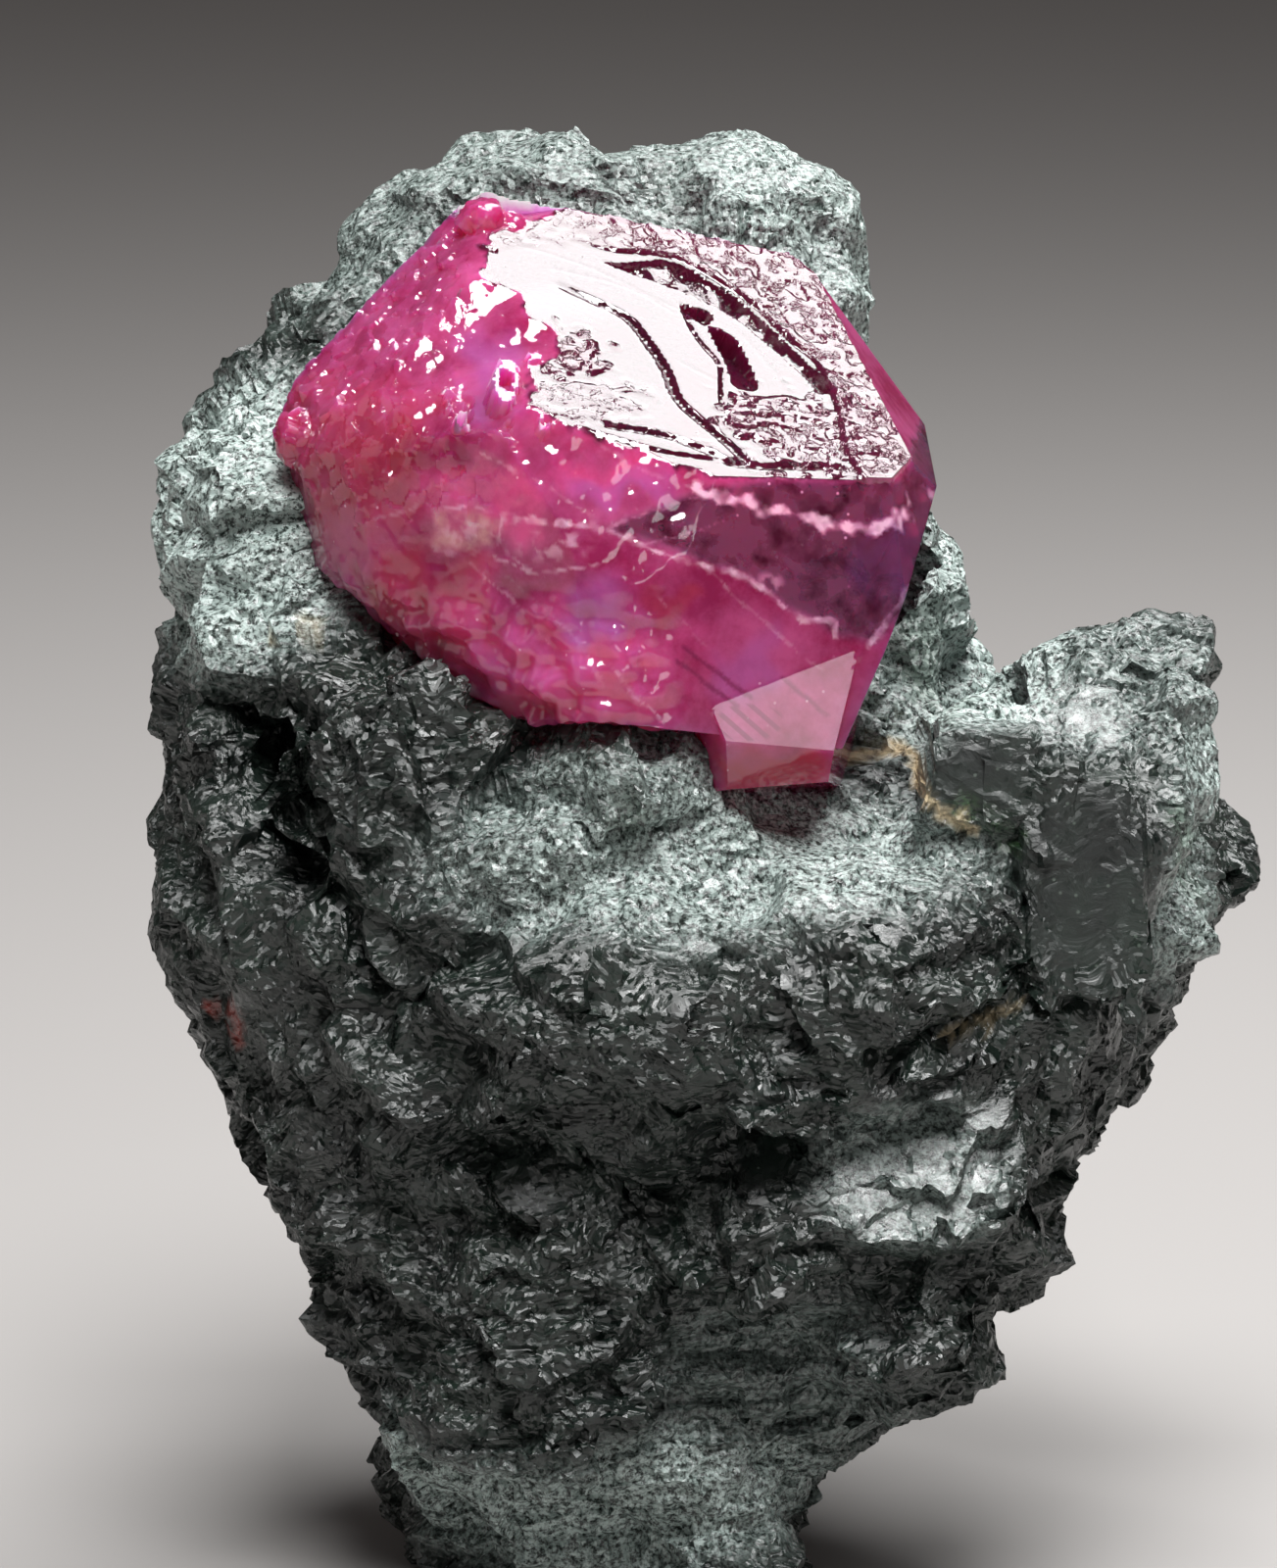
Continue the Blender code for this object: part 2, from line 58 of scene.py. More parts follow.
ROCK_VOXEL = 0.105
MOST_TRIANGLES = 190000  # in one piece
HIDDEN_FIRST = 10.0  # how strongly the thinning prefers hidden parts
SOCKET_REACH = 0.45  # rock this near the crystal closes up on it
SOCKET_SINK = 0.04  # how far it then reaches into the crystal
FOOT_HEIGHT = 0.12  # rock below this height keeps its flat cut

# Each face of the crystal has its outward direction and a point on it.
MIRROR_FACE = ((0.23, -0.494, 0.839), (0.69, -3.0, 23.15))
# The main crystal, and the small body at its lower right
CRYSTAL_BODIES = (
    (
        MIRROR_FACE,
        ((-0.51, -0.86, 0.02), (-1.1, -6.5, 17.2)),
        ((0.24, -0.97, 0.07), (-0.58, -6.6, 21.08)),
        ((-0.14, -0.985, 0.05), (-0.6, -6.5, 20.0)),
        ((0.318, -0.919, 0.235), (-0.55, -6.61, 20.78)),
        ((-0.62, -0.68, 0.38), (-4.25, -4.26, 22.1)),
        ((-0.86, -0.38, 0.33), (-6.0, -2.3, 21.68)),
        ((-0.78, -0.62, -0.07), (-5.22, -3.73, 20.0)),
        ((-0.63, -0.65, -0.42), (-4.0, -4.55, 18.48)),
        ((-0.59, -0.37, 0.72), (-3.2, -5.8, 22.5)),
        ((-0.93, -0.33, -0.15), (-6.15, -2.4, 21.3)),
        ((0.78, -0.1, 0.6), (4.4, -2.5, 22.1)),
        ((0.9, 0.12, -0.42), (5.3, -3.8, 20.8)),
        ((0.80, -0.55, 0.22), (4.15, -5.43, 20.5)),
        ((0.0, 0.93, 0.36), (0.0, -0.2, 25.0)),
        ((-0.55, 0.8, 0.25), (-4.0, -0.5, 24.3)),
        ((0.6, 0.75, 0.3), (3.8, -0.2, 22.8)),
        ((-0.68, -0.3, -0.66), (-4.4, -4.5, 18.6)),
        ((-0.1, -0.25, -0.96), (0.0, -5.5, 16.75)),
        ((-0.35, 0.1, -0.93), (-3.0, -3.0, 17.4)),
    ),
    (
        ((0.175, -0.953, 0.246), (2.27, -6.13, 17.73)),
        ((0.1, -0.93, -0.35), (2.4, -6.35, 16.55)),
        ((-0.8, -0.55, -0.25), (1.35, -6.2, 16.6)),
        ((0.95, -0.15, -0.2), (3.75, -5.0, 17.2)),
        ((0.08, -0.25, -0.96), (2.6, -5.6, 15.75)),
        ((0.1, 0.1, 0.99), (2.5, -5.0, 18.9)),
        ((0.0, 1.0, 0.0), (2.5, -2.2, 17.0)),
    ),
)
CRYSTAL_GRID = 0.83  # share of the remesh grid that the crystal fills
SHARP_ANGLE = 0.4  # edges that turn by more than this stay sharp
# Rounded bumps, two at the apex and one on the left edge: middle, radius
BUMPS = (((-2.8, -1.0, 25.1), 0.42), ((-2.3, -0.9, 24.95), 0.33), ((-6.0, -2.3, 21.4), 0.5))

WAVE_COUNT = 7  # plane waves in an octave of random relief
WAVE_SPREAD = 3.2  # their sum seldom passes this
SOFTNESS = 6.0  # a soft distance follows its outline more closely where this is higher


# Helpers

def new_object(name, mesh):
    thing = bpy.data.objects.new(name, mesh)
    bpy.context.scene.collection.objects.link(thing)
    return thing


def settle(thing):
    bpy.context.view_layer.update()
    graph = bpy.context.evaluated_depsgraph_get()
    mesh = bpy.data.meshes.new_from_object(thing.evaluated_get(graph))
    thing.modifiers.clear()
    thing.data = mesh


def from_bmesh(name, bm):
    mesh = bpy.data.meshes.new(name)
    bm.to_mesh(mesh)
    bm.free()
    return new_object(name, mesh)


def read(mesh, name):
    """The "co" or the "normal" of each vertex."""
    vectors = np.empty(len(mesh.vertices) * 3, np.float32)
    mesh.vertices.foreach_get(name, vectors)
    return vectors.reshape(-1, 3).astype(float)


def write_points(mesh, points):
    mesh.vertices.foreach_set("co", points.astype(np.float32).ravel())
    mesh.update()


def unit(vectors):
    return vectors / np.maximum(np.linalg.norm(vectors, axis=-1, keepdims=True), 1e-9)


def smoothstep(low, high, value):
    t = np.clip((value - low) / (high - low), 0.0, 1.0)
    return t * t * (3.0 - 2.0 * t)


def seen(points):
    """Where points show from the front, across and up, in millimetres at the front of the crystal."""
    rise = points[:, 2] - VIEW_HEIGHT
    depth = VIEW_DISTANCE + np.cos(VIEW_TILT) * points[:, 1] - np.sin(VIEW_TILT) * rise
    height = np.cos(VIEW_TILT) * rise + np.sin(VIEW_TILT) * points[:, 1]
    scale = (VIEW_DISTANCE + np.cos(VIEW_TILT) * FRONT) / depth
    level = VIEW_HEIGHT - FRONT * np.tan(VIEW_TILT)
    return np.column_stack([points[:, 0] * scale, level + height * scale / np.cos(VIEW_TILT)])


def near(points, parts):
    """The strongest of some parts at each point: 1 at a middle, falling to 0 over an ellipsoid."""
    found = []
    for middle, radii, strength in parts:
        away = np.linalg.norm((points - np.array(middle)) / np.array(radii), axis=1)
        found.append(strength * (1.0 - smoothstep(0.6, 1.0, away)))
    return np.max(found, axis=0)


def spot(spots, middle, half):
    """1 at the middle of an ellipse, falling to 0 at its edge."""
    return 1.0 - smoothstep(0.35, 1.0, np.linalg.norm((spots - np.array(middle)) / np.array(half), axis=1))


def strongest(spots, places):
    return np.max([strength * spot(spots, middle, half) for middle, half, strength in places], axis=0)


def waves(points, size, seed, octaves=2):
    """Smooth random relief from about -1 to 1, as a sum of plane waves."""
    chance = np.random.default_rng(seed)
    total = np.zeros(len(points))
    for octave in range(octaves):
        for _ in range(WAVE_COUNT):
            direction = unit(chance.normal(size=3)) * (2 ** octave) * 2 * np.pi / size
            total += np.sin(points @ direction + chance.uniform(0, 7)) / (2 ** octave)
    return total / WAVE_SPREAD


def wander(points, size, seed):
    """A smooth random shift across and up."""
    return np.column_stack([waves(points, size, seed), waves(points, size, seed + 1)])


def rounded(outline, closed=True, steps=5):
    """A smooth curve through the points of an outline."""
    points = np.array(outline, float)
    count = len(points)
    curve = []
    for index in range(count if closed else count - 1):
        picks = [index - 1, index, index + 1, index + 2]
        a, b, c, d = points.take(picks, axis=0, mode="wrap" if closed else "clip")
        for t in np.arange(steps) / steps:
            curve.append(0.5 * (2 * b + (c - a) * t + (2 * a - 5 * b + 4 * c - d) * t ** 2
                                + (3 * b - a - 3 * c + d) * t ** 3))
    return curve if closed else curve + [points[-1]]


def line_distance(spots, line):
    far = np.full(len(spots), np.inf)
    for a, b in zip(line, line[1:]):
        a, b = np.array(a, float), np.array(b, float)
        along = np.clip((spots - a) @ (b - a) / ((b - a) @ (b - a) + 1e-12), 0, 1)
        far = np.minimum(far, np.linalg.norm(spots - a - along[:, None] * (b - a), axis=1))
    return far


def soft_distance(spots, outline):
    """Distance from a closed outline, without creases."""
    total = np.zeros(len(spots))
    for a, b in zip(outline, outline[1:] + outline[:1]):
        total += np.exp(-SOFTNESS * line_distance(spots, (a, b)))
    return np.maximum(0.0, -np.log(total) / SOFTNESS)


def depth_inside(spots, outline):
    """Distance from the outline: positive inside, negative outside."""
    outline = list(outline)
    inside = np.zeros(len(spots), bool)
    x, y = spots.T
    for a, b in zip(outline, outline[1:] + outline[:1]):
        if a[1] != b[1]:
            crosses = (a[1] > y) != (b[1] > y)
            inside ^= crosses & (x < a[0] + (y - a[1]) / (b[1] - a[1]) * (b[0] - a[0]))
    away = line_distance(spots, outline + outline[:1])
    return np.where(inside, away, -away)


def nearest(points, seeds):
    """The number of the seed nearest to each point."""
    tree = kdtree.KDTree(len(seeds))
    for index, seed in enumerate(seeds):
        tree.insert(seed, index)
    tree.balance()
    return np.array([tree.find(point)[1] for point in points])


def dots(first, second):
    """The dot product of each pair of vectors."""
    return np.einsum("ij,ij->i", first, second)


def set_attribute(mesh, name, values):
    layer = mesh.attributes.new(name, "FLOAT", "POINT")
    layer.data.foreach_set("value", values.astype(np.float32))


# Rock

FIBRE = (0.93, 0.28, -0.16)  # the way most of its blades run
FIBRE_SPREAD = 0.24
DOMAIN_SIZE = 2.6
DOMAIN_GAP = 40.0  # keeps the cells of one domain apart from those of the next
# The block at the right: its fibres, their spread, its left side, back, bottom and top
BLOCK_FIBRE, BLOCK_SPREAD = (0.1, 0.05, 1.0), 0.05
BLOCK_LEFT, BLOCK_BACK, BLOCK_BOTTOM, BLOCK_HEAD = 6.4, -3.4, 9.0, 16.2
# Cells of flat breaks: spacing, stretch along the fibres, tilt, depth, farthest shift, seed
ROCK_CELLS = (
    (1.7, 1.5, 0.14, 0.1, 0.25, 3),
    (0.6, 1.6, 0.2, 0.045, 0.11, 5),
    (0.24, 1.4, 0.36, 0.02, 0.045, 8),
)
PLATE_CELLS = (0.8, 1.2, 0.11, 0.12, 0.35, 9)  # cleavage plates of the glossy places
CLEAVAGE = (0.028, -0.786, 0.618)  # the direction that they face
# Crevices and hollows seen from the front, across and up: line, width, depth
CREVICES = (
    (((3.9, 10.7), (5.3, 11.15), (6.75, 11.75)), 0.36, 1.0),
    (((6.55, 14.6), (6.8, 13.4), (6.8, 11.9)), 0.22, 0.7),
    (((4.9, 16.5), (5.15, 15.3), (6.2, 15.0), (6.9, 14.6)), 0.16, 0.35),
    (((-6.2, 16.3), (-6.0, 15.5), (-5.7, 14.8)), 0.8, 1.9),
    (((-5.2, 13.9), (-4.9, 13.0), (-4.5, 12.4)), 0.35, 0.5),
    (((-4.7, 12.5), (-4.2, 12.1)), 0.4, 0.5),
    (((-7.4, 17.3), (-6.9, 17.0)), 0.3, 0.5),
    (((-8.3, 13.1), (-7.7, 12.9)), 0.25, 0.3),
    (((-1.0, 14.85), (0.4, 15.0), (1.5, 15.5)), 0.18, 0.4),
    (((-3.2, 9.9), (-2.3, 9.6), (-1.2, 9.9)), 0.18, 0.25),
    (((1.9, 9.6), (2.9, 9.0), (3.4, 8.2)), 0.2, 0.35),
    (((-2.5, 8.9), (-2.3, 7.6), (-1.2, 7.1)), 0.18, 0.35),
    (((-0.9, 9.2), (-0.8, 7.3)), 0.15, 0.25),
    (((-2.9, 6.6), (-2.7, 5.4)), 0.35, 0.5),
    (((-4.3, 5.4), (-3.9, 4.6)), 0.3, 0.4),
    (((0.6, 8.0), (1.0, 7.2), (2.0, 6.6)), 0.16, 0.3),
    (((4.0, 3.8), (5.2, 5.0), (6.2, 6.4)), 0.2, 0.3),
)
# Thin seams of tan clay seen from the front: line, width, strength
SEAMS = (
    (((1.6, 16.1), (2.4, 15.95)), 0.1, 0.8),
    (((-6.7, 18.3), (-5.6, 18.85)), 0.07, 0.5),
    (((3.6, 16.35), (4.4, 16.55), (4.85, 16.4), (4.9, 15.9), (5.3, 15.3), (5.9, 15.05)), 0.12, 1.0),
    (((5.4, 11.4), (6.1, 11.7), (6.75, 11.95)), 0.12, 0.5),
)
# Places seen from the front, each with its middle, half widths and strength
GLOSSY_PLACES = (
    ((5.2, 9.7), (2.0, 1.2), 1.0),
    ((4.7, 8.4), (2.0, 1.3), 1.0),
    ((2.3, 9.15), (0.95, 0.6), 1.0),
    ((7.6, 17.2), (1.3, 0.7), 0.9),
    ((10.6, 14.7), (0.5, 0.7), 1.0),
    ((4.35, 13.3), (0.8, 0.35), 0.8),
    ((1.2, 12.9), (0.7, 0.2), 0.8),
    ((-1.9, 8.6), (0.8, 0.9), 0.5),
    ((1.8, 3.6), (0.8, 0.6), 0.6),
)
EVEN_PLACES = (
    ((8.0, 14.0), (1.9, 3.1), 0.95),
    ((6.0, 16.1), (1.2, 1.0), 0.9),
    ((1.0, 13.6), (6.0, 2.8), 0.6),
)
LEAFY_PLACES = (
    ((5.75, 15.35), (0.55, 0.3), 1.0),
    ((6.5, 14.95), (0.5, 0.22), 0.8),
    ((5.2, 18.2), (1.0, 1.6), 0.45),
    ((9.6, 14.6), (0.3, 1.2), 0.4),
    ((-0.2, 15.3), (0.8, 0.4), 0.25),
)
DARK_PLACES = (
    ((6.0, 16.1), (1.2, 1.0), 1.0),
    ((7.8, 14.1), (1.7, 2.6), 0.9),
    ((-2.7, 17.2), (2.2, 1.3), 0.5),
    ((-4.6, 15.4), (1.6, 1.2), 0.6),
)
# The ledge of cleavage plates under the mound: its sides, the height and depth of its lip, and its lean
# above and below the lip
LEDGE_LEFT, LEDGE_RIGHT, LEDGE_LIP, LEDGE_DEPTH = 3.1, 6.7, 8.1, -7.9
LEDGE_SLOPE, LEDGE_UNDERCUT = 0.42, 1.7
# Flat steep faces of the block: middle and half widths seen from the front, depth, lean
FLAT_FACES = (
    ((5.9, 16.0), (1.05, 0.95), -6.3, 0.12),
    ((7.75, 14.2), (1.2, 2.2), -6.6, 0.08),
)
BLOCK_TOP = ((6.2, 17.85), (8.6, 18.9))  # the slope of the block's top seen from the front
SADDLE = ((-0.6, 26.4), (1.0, 0.9), 0.4)  # fills the dip in the top: middle, half widths, rise
RED_MARK, RED_WIDTH = ((-7.6, 11.9), (-7.1, 11.85), (-7.0, 11.2)), 0.12
# Thin layers: thickness, depth of their ledges, top, strength
LAYERS = ((0.62, 0.16, 8.5, 1.0), (0.27, 0.06, 10.0, 0.7))
# Smooth parts of the rock's left side and top: middle, radii, strength
EVEN_PARTS = (
    ((-6.0, -3.0, 13.0), (2.5, 3.5, 4.0), 0.4),
    ((0.0, 3.0, 24.0), (9.0, 7.0, 6.0), 0.45),
)


def fibre_domains(points, seed):
    """The number of the fibre domain of each point, and the axis of each domain."""
    chance = np.random.default_rng(seed)
    low, high = points.min(axis=0), points.max(axis=0)
    count = int(np.prod((high - low) / DOMAIN_SIZE))
    centres = chance.uniform(low, high, (count, 3))
    axes = unit(np.array(FIBRE) + chance.normal(0.0, FIBRE_SPREAD, (count, 3)))
    x, y, z = centres.T
    block = (x > BLOCK_LEFT) & (y < BLOCK_BACK) & (z > BLOCK_BOTTOM) & (z < BLOCK_HEAD)
    axes[block] = unit(np.array(BLOCK_FIBRE) + chance.normal(0.0, BLOCK_SPREAD, (block.sum(), 3)))
    return nearest(points, centres), axes


def break_flat(points, normals, domain, axes, cells, area, strength):
    """Moves each point onto the flat break of its cell. Cells are longer along the fibres of their domain."""
    spacing, stretch, tilt, depth, reach, seed = cells
    chance = np.random.default_rng(seed)
    axis = axes[domain]
    squeeze = 1.0 - 1.0 / stretch
    warped = points - axis * (dots(points, axis) * squeeze)[:, None]
    warped += domain[:, None] * DOMAIN_GAP
    count = int(area / (spacing * spacing * stretch))
    chosen = chance.choice(len(points), count, replace=False)
    cell = chosen[nearest(warped, warped[chosen])]
    facing = normals[cell]
    own = axis[cell]
    facing = facing - own * (0.5 * dots(facing, own))[:, None]
    wobble = chance.normal(0.0, tilt, (len(points), 3))[cell]
    wobble -= own * (0.6 * dots(wobble, own))[:, None]
    if cells is PLATE_CELLS:
        facing = np.array(CLEAVAGE) + 0.5 * wobble
    facing = unit(facing + wobble)
    sunk = chance.uniform(-depth, depth, len(points))[cell]
    rise = dots(facing, points[cell] - points) + sunk
    return points + facing * (np.clip(rise, -reach, reach) * strength)[:, None]


def from_places(points, places):
    """The strongest of some places seen from the front, at each point of the rock's front."""
    spots = seen(points) + 0.15 * wander(points, 1.1, 35)
    return strongest(spots, places) * smoothstep(0.5, -1.5, points[:, 1])


def evenness(points):
    """How smooth the rock is: 1 on the block's front and on the mound, 0 where it is broken up."""
    return np.maximum(from_places(points, EVEN_PLACES), near(points, EVEN_PARTS))


def open_crevices(points, normals):
    spots = seen(points) + 0.12 * wander(points, 0.9, 31)
    front = smoothstep(0.0, -1.0, points[:, 1]) * smoothstep(-0.1, -0.4, normals[:, 1])
    for line, width, depth in CREVICES:
        dip = smoothstep(width, 0.0, line_distance(spots, rounded(line, False))) * front * depth
        points = points + dip[:, None] * np.array([0.0, 0.95, 0.3])
    return points


def add_ledge(points):
    """Pushes out the ledge of cleavage plates, and fills the dip in the rock's top."""
    x, y, z = points.T
    plane = LEDGE_DEPTH + np.abs(z - LEDGE_LIP) * np.where(z > LEDGE_LIP, LEDGE_SLOPE, LEDGE_UNDERCUT)
    plane += 0.25 * waves(points, 1.5, 37) + 0.12 * (x - LEDGE_LEFT) * (x > 5.0)
    sides = smoothstep(LEDGE_LEFT - 0.5, LEDGE_LEFT + 0.5, x)
    sides *= smoothstep(LEDGE_RIGHT + 0.5, LEDGE_RIGHT - 0.5, x)
    out = np.maximum(0.0, y - plane) * sides * (y < -2.0) * (z < 11.5)
    middle, half, rise = SADDLE
    up = rise * spot(seen(points), middle, half)
    return points + np.column_stack([0.0 * x, -out, up])


def flatten_faces(points):
    """Pushes out a few flat steep faces, and cuts the block's top to a slope."""
    x, z = seen(points).T
    for (cx, cz), (rx, rz), depth, lean in FLAT_FACES:
        away = (((x - cx) / rx) ** 4 + ((z - cz) / rz) ** 4) ** 0.25
        plane = depth + lean * (points[:, 2] - cz)
        out = np.maximum(0.0, points[:, 1] - plane) * smoothstep(1.0, 0.9, away) * (points[:, 1] < -3.0)
        points = points - out[:, None] * np.array([0.0, 1.0, 0.0])
    (x0, z0), (x1, z1) = BLOCK_TOP
    above = z - z0 - (x - x0) * (z1 - z0) / (x1 - x0)
    down = np.maximum(0.0, above) * smoothstep(x0 - 0.4, x0 + 0.1, x) * smoothstep(x1 + 0.3, x1, x)
    return points - (down * (points[:, 1] < 3.0))[:, None] * np.array([0.0, 0.0, 1.0])


def layer_ledges(points, normals):
    """Thin layers in the lower part that end in small ledges."""
    drift = 0.3 * waves(points, 6.0, 21, 1)
    outward = normals * np.array([1.0, 1.0, 0.0])
    for thickness, depth, top, strength in LAYERS:
        phase = (points[:, 2] + drift - 0.12 * points[:, 0]) / thickness % 1.0
        share = smoothstep(top, top - 3.0, points[:, 2]) * strength
        points = points + outward * ((phase - 0.6) * depth * share)[:, None]
    return points


def body_distance(points, faces):
    far = [(points - np.array(point)) @ unit(np.array(direction)) for direction, point in faces]
    return np.max(far, axis=0)


def bump_distance(points):
    far = [np.linalg.norm(points - np.array(centre), axis=1) - radius for centre, radius in BUMPS]
    return np.min(far, axis=0)


def crystal_distance(points):
    far = [body_distance(points, faces) for faces in CRYSTAL_BODIES]
    return np.min(far + [bump_distance(points)], axis=0)


def crystal_slope(points):
    """The direction that leads away from the crystal."""
    slope = []
    for step in 0.02 * np.eye(3):
        slope.append(crystal_distance(points + step) - crystal_distance(points - step))
    return unit(np.array(slope).T)


def close_socket(points):
    """Rock beside the crystal grows snugly against it."""
    away = crystal_distance(points)
    close = away < SOCKET_REACH
    shift = (away[close] + SOCKET_SINK) * (1.0 - smoothstep(0.3, SOCKET_REACH, away[close]))
    points = points.copy()
    points[close] -= crystal_slope(points[close]) * shift[:, None]
    return points


# Pale places, partly the rock's own lighter colour and partly painted light: painted sheen on lit tops and
# painted light on parts in shadow. Middle, radii, strength
PALE_AND_LIT_PLACES = (
    ((-1.5, 4.0, 24.5), (6.5, 5.5, 6.0), 0.65),
    ((3.8, 3.0, 25.0), (3.5, 5.5, 4.5), 1.0),
    ((-7.3, -0.5, 19.6), (3.2, 5.5, 3.4), 1.5),
    ((5.6, -1.0, 17.9), (2.8, 6.5, 3.2), 1.4),
    ((1.2, -5.4, 14.4), (6.2, 3.4, 2.3), 1.0),
    ((-0.2, -6.2, 15.8), (2.4, 2.0, 1.0), 0.7),
    ((8.2, -3.5, 17.3), (3.4, 3.8, 1.6), 0.5),
    ((10.2, -3.5, 13.6), (1.8, 4.0, 4.0), 1.0),
    ((-1.0, -4.0, 2.8), (5.5, 4.0, 2.4), 1.1),
    ((2.6, -5.0, 5.2), (3.2, 3.0, 3.2), 0.35),
    ((4.8, -7.4, 9.2), (2.2, 2.2, 1.8), 0.5),
)


def rock_masks(points):
    """Where the rock is pale or painted lighter as painted light and sheen, rusty, red, leafy green, glossy,
    calm or even.
    """
    spots = seen(points) + 0.05 * wander(points, 0.5, 33)
    front = smoothstep(0.0, -1.5, points[:, 1])
    rust = np.max([strength * smoothstep(width, 0.4 * width, line_distance(spots, line))
                   for line, width, strength in SEAMS], axis=0)
    red = smoothstep(RED_WIDTH, 0.0, line_distance(spots, RED_MARK))
    calm = from_places(points, DARK_PLACES)
    return {
        "pale_and_lit": near(points, PALE_AND_LIT_PLACES) * (1.0 - calm),
        "rust": rust * front,
        "red": red * front,
        "leaf": from_places(points, LEAFY_PLACES),
        "gloss": from_places(points, GLOSSY_PLACES),
        "calm": calm,
        "even": evenness(points),
    }


def make_rock():
    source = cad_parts["matrix"]
    mesh = source.data.copy()
    mesh.transform(Matrix.Scale(1 / MM, 4))
    rock = new_object("rock_surface", mesh)
    weld = rock.modifiers.new("Weld", "WELD")
    weld.merge_threshold = 1e-4
    settle(rock)
    step = rock.modifiers.new("Remesh", "REMESH")
    step.mode = "VOXEL"
    step.voxel_size = ROCK_VOXEL
    settle(rock)
    mesh = rock.data
    points = read(mesh, "co") + MIDDLE
    foot = points[:, 2] < FOOT_HEIGHT
    area = sum(face.area for face in mesh.polygons)
    smooth = relaxed(mesh, points, 5)
    points = np.where(foot[:, None], points, smooth)
    domain, axes = fibre_domains(points, 13)
    plates = from_places(points, GLOSSY_PLACES)
    broken = (1.0 - evenness(points)) * (1.0 - 0.9 * plates)
    for cells in ROCK_CELLS + (PLATE_CELLS,):
        write_points(mesh, points - MIDDLE)
        normals = read(mesh, "normal")
        strength = plates if cells is PLATE_CELLS else broken
        if cells is ROCK_CELLS[0]:
            points = np.where(foot[:, None], points, flatten_faces(add_ledge(open_crevices(points, normals))))
        moved = break_flat(points, normals, domain, axes, cells, area, strength)
        points = np.where(foot[:, None], points, moved)
        if cells is ROCK_CELLS[1]:
            points = np.where(foot[:, None], points, layer_ledges(points, normals))
    points = close_socket(points)
    points[:, 2] = np.maximum(points[:, 2], 0.0)
    write_points(mesh, points - MIDDLE)
    thin_out(rock)
    mesh = rock.data
    points = read(mesh, "co") + MIDDLE
    for name, values in rock_masks(points).items():
        set_attribute(mesh, name, values)
    mesh.transform(Matrix.Scale(MM, 4))
    return rock


def relaxed(mesh, points, rounds):
    """The points after some rounds of smoothing along the edges."""
    ends = np.empty(len(mesh.edges) * 2, np.int32)
    mesh.edges.foreach_get("vertices", ends)
    a, b = ends.reshape(-1, 2).T
    count = np.bincount(a, minlength=len(points)) + np.bincount(b, minlength=len(points))
    for _ in range(rounds):
        total = np.zeros_like(points)
        for axis in range(3):
            total[:, axis] += np.bincount(a, points[b, axis], len(points))
            total[:, axis] += np.bincount(b, points[a, axis], len(points))
        points = 0.4 * points + 0.6 * total / count[:, None]
    return points


# Crystal

def block(name, faces):
    bm = bmesh.new()
    centre = sum((Vector(point) for _, point in faces), Vector()) / len(faces)
    bmesh.ops.create_cube(bm, size=40.0, matrix=Matrix.Translation(centre))
    for direction, point in faces:
        everything = bm.verts[:] + bm.edges[:] + bm.faces[:]
        cut = bmesh.ops.bisect_plane(bm, geom=everything, dist=1e-5, plane_co=Vector(point),
                                     plane_no=Vector(direction).normalized(), clear_outer=True)
        rim = [part for part in cut["geom_cut"] if isinstance(part, bmesh.types.BMEdge)]
        if rim:
            bmesh.ops.edgeloop_fill(bm, edges=rim)
    bmesh.ops.recalc_face_normals(bm, faces=bm.faces)
    return from_bmesh(name, bm)


def ball(name, centre, radius):
    bm = bmesh.new()
    bmesh.ops.create_icosphere(bm, subdivisions=3, radius=radius, matrix=Matrix.Translation(centre))
    return from_bmesh(name, bm)


# Features of the mirror face, across and up its slope from its middle.
# The part of it that shines; to the left and below it slopes away.
BRIGHT_PART = (
    (-2.3, 3.45), (-1.15, 3.6), (0.0, 4.2), (6.0, 4.0), (6.0, -6.0), (2.1, -5.0), (1.24, -4.56),
    (0.19, -3.94), (-0.38, -3.45), (-1.3, -2.85), (-2.0, -2.35), (-2.7, -1.9), (-3.3, -1.3),
    (-2.9, -0.4), (-2.25, 0.0), (-2.05, 0.6), (-2.4, 1.1), (-2.3, 1.7), (-2.9, 2.2),
)
STEP_LINE = (
    (-1.6, 1.85), (-1.12, 1.36), (-0.66, 0.83), (-0.53, 0.18), (-0.47, -0.54), (-0.54, -1.35),
    (-0.36, -1.92), (-0.15, -2.38), (0.1, -3.03),
)
TERRACE = STEP_LINE + ((-1.3, -2.7), (-2.7, -1.95), (-4.4, -1.5), (-4.4, 0.0), (-3.1, 1.9))
# Lines cut into it: line, width, depth
CUT_LINES = (
    (((0.51, 1.1), (0.46, 0.45), (0.5, 0.0), (0.6, -0.56), (0.3, -1.4), (0.2, -1.97)), 0.06, 0.03),
    (((-2.1, -1.95), (-1.17, -2.3), (-0.6, -2.72), (-0.15, -3.1), (0.6, -3.25), (1.8, -3.4)), 0.11, 0.06),
    (((-2.0, 3.0), (-0.9, 2.3), (0.2, 1.2), (0.47, 0.9)), 0.05, 0.006),
    (((-1.6, 2.3), (-0.4, 1.7), (0.3, 0.9)), 0.05, 0.006),
    (((1.35, 0.2), (1.5, -0.5), (1.62, -1.1)), 0.05, 0.006),
    (((-0.1, -0.4), (0.25, -0.8), (0.5, -1.0)), 0.05, 0.006),
)
LEAF_PITS = (
    ((0.47, 1.1), (1.0, 0.82), (0.72, 0.5)),
    ((0.8, 0.45), (1.16, 0.1), (1.17, -0.62), (1.06, -1.32), (0.64, -1.28), (0.74, -0.5)),
)
GROOVE = (
    (-0.6, 2.42), (-0.07, 1.99), (0.75, 1.37), (1.39, 0.64), (1.74, -0.12), (2.07, -0.97), (2.2, -1.5),
    (2.5, -1.3), (2.3, -0.7), (2.08, -0.04), (1.82, 0.74), (1.56, 1.3), (1.07, 2.0), (0.65, 2.35),
    (-0.11, 2.3),
)
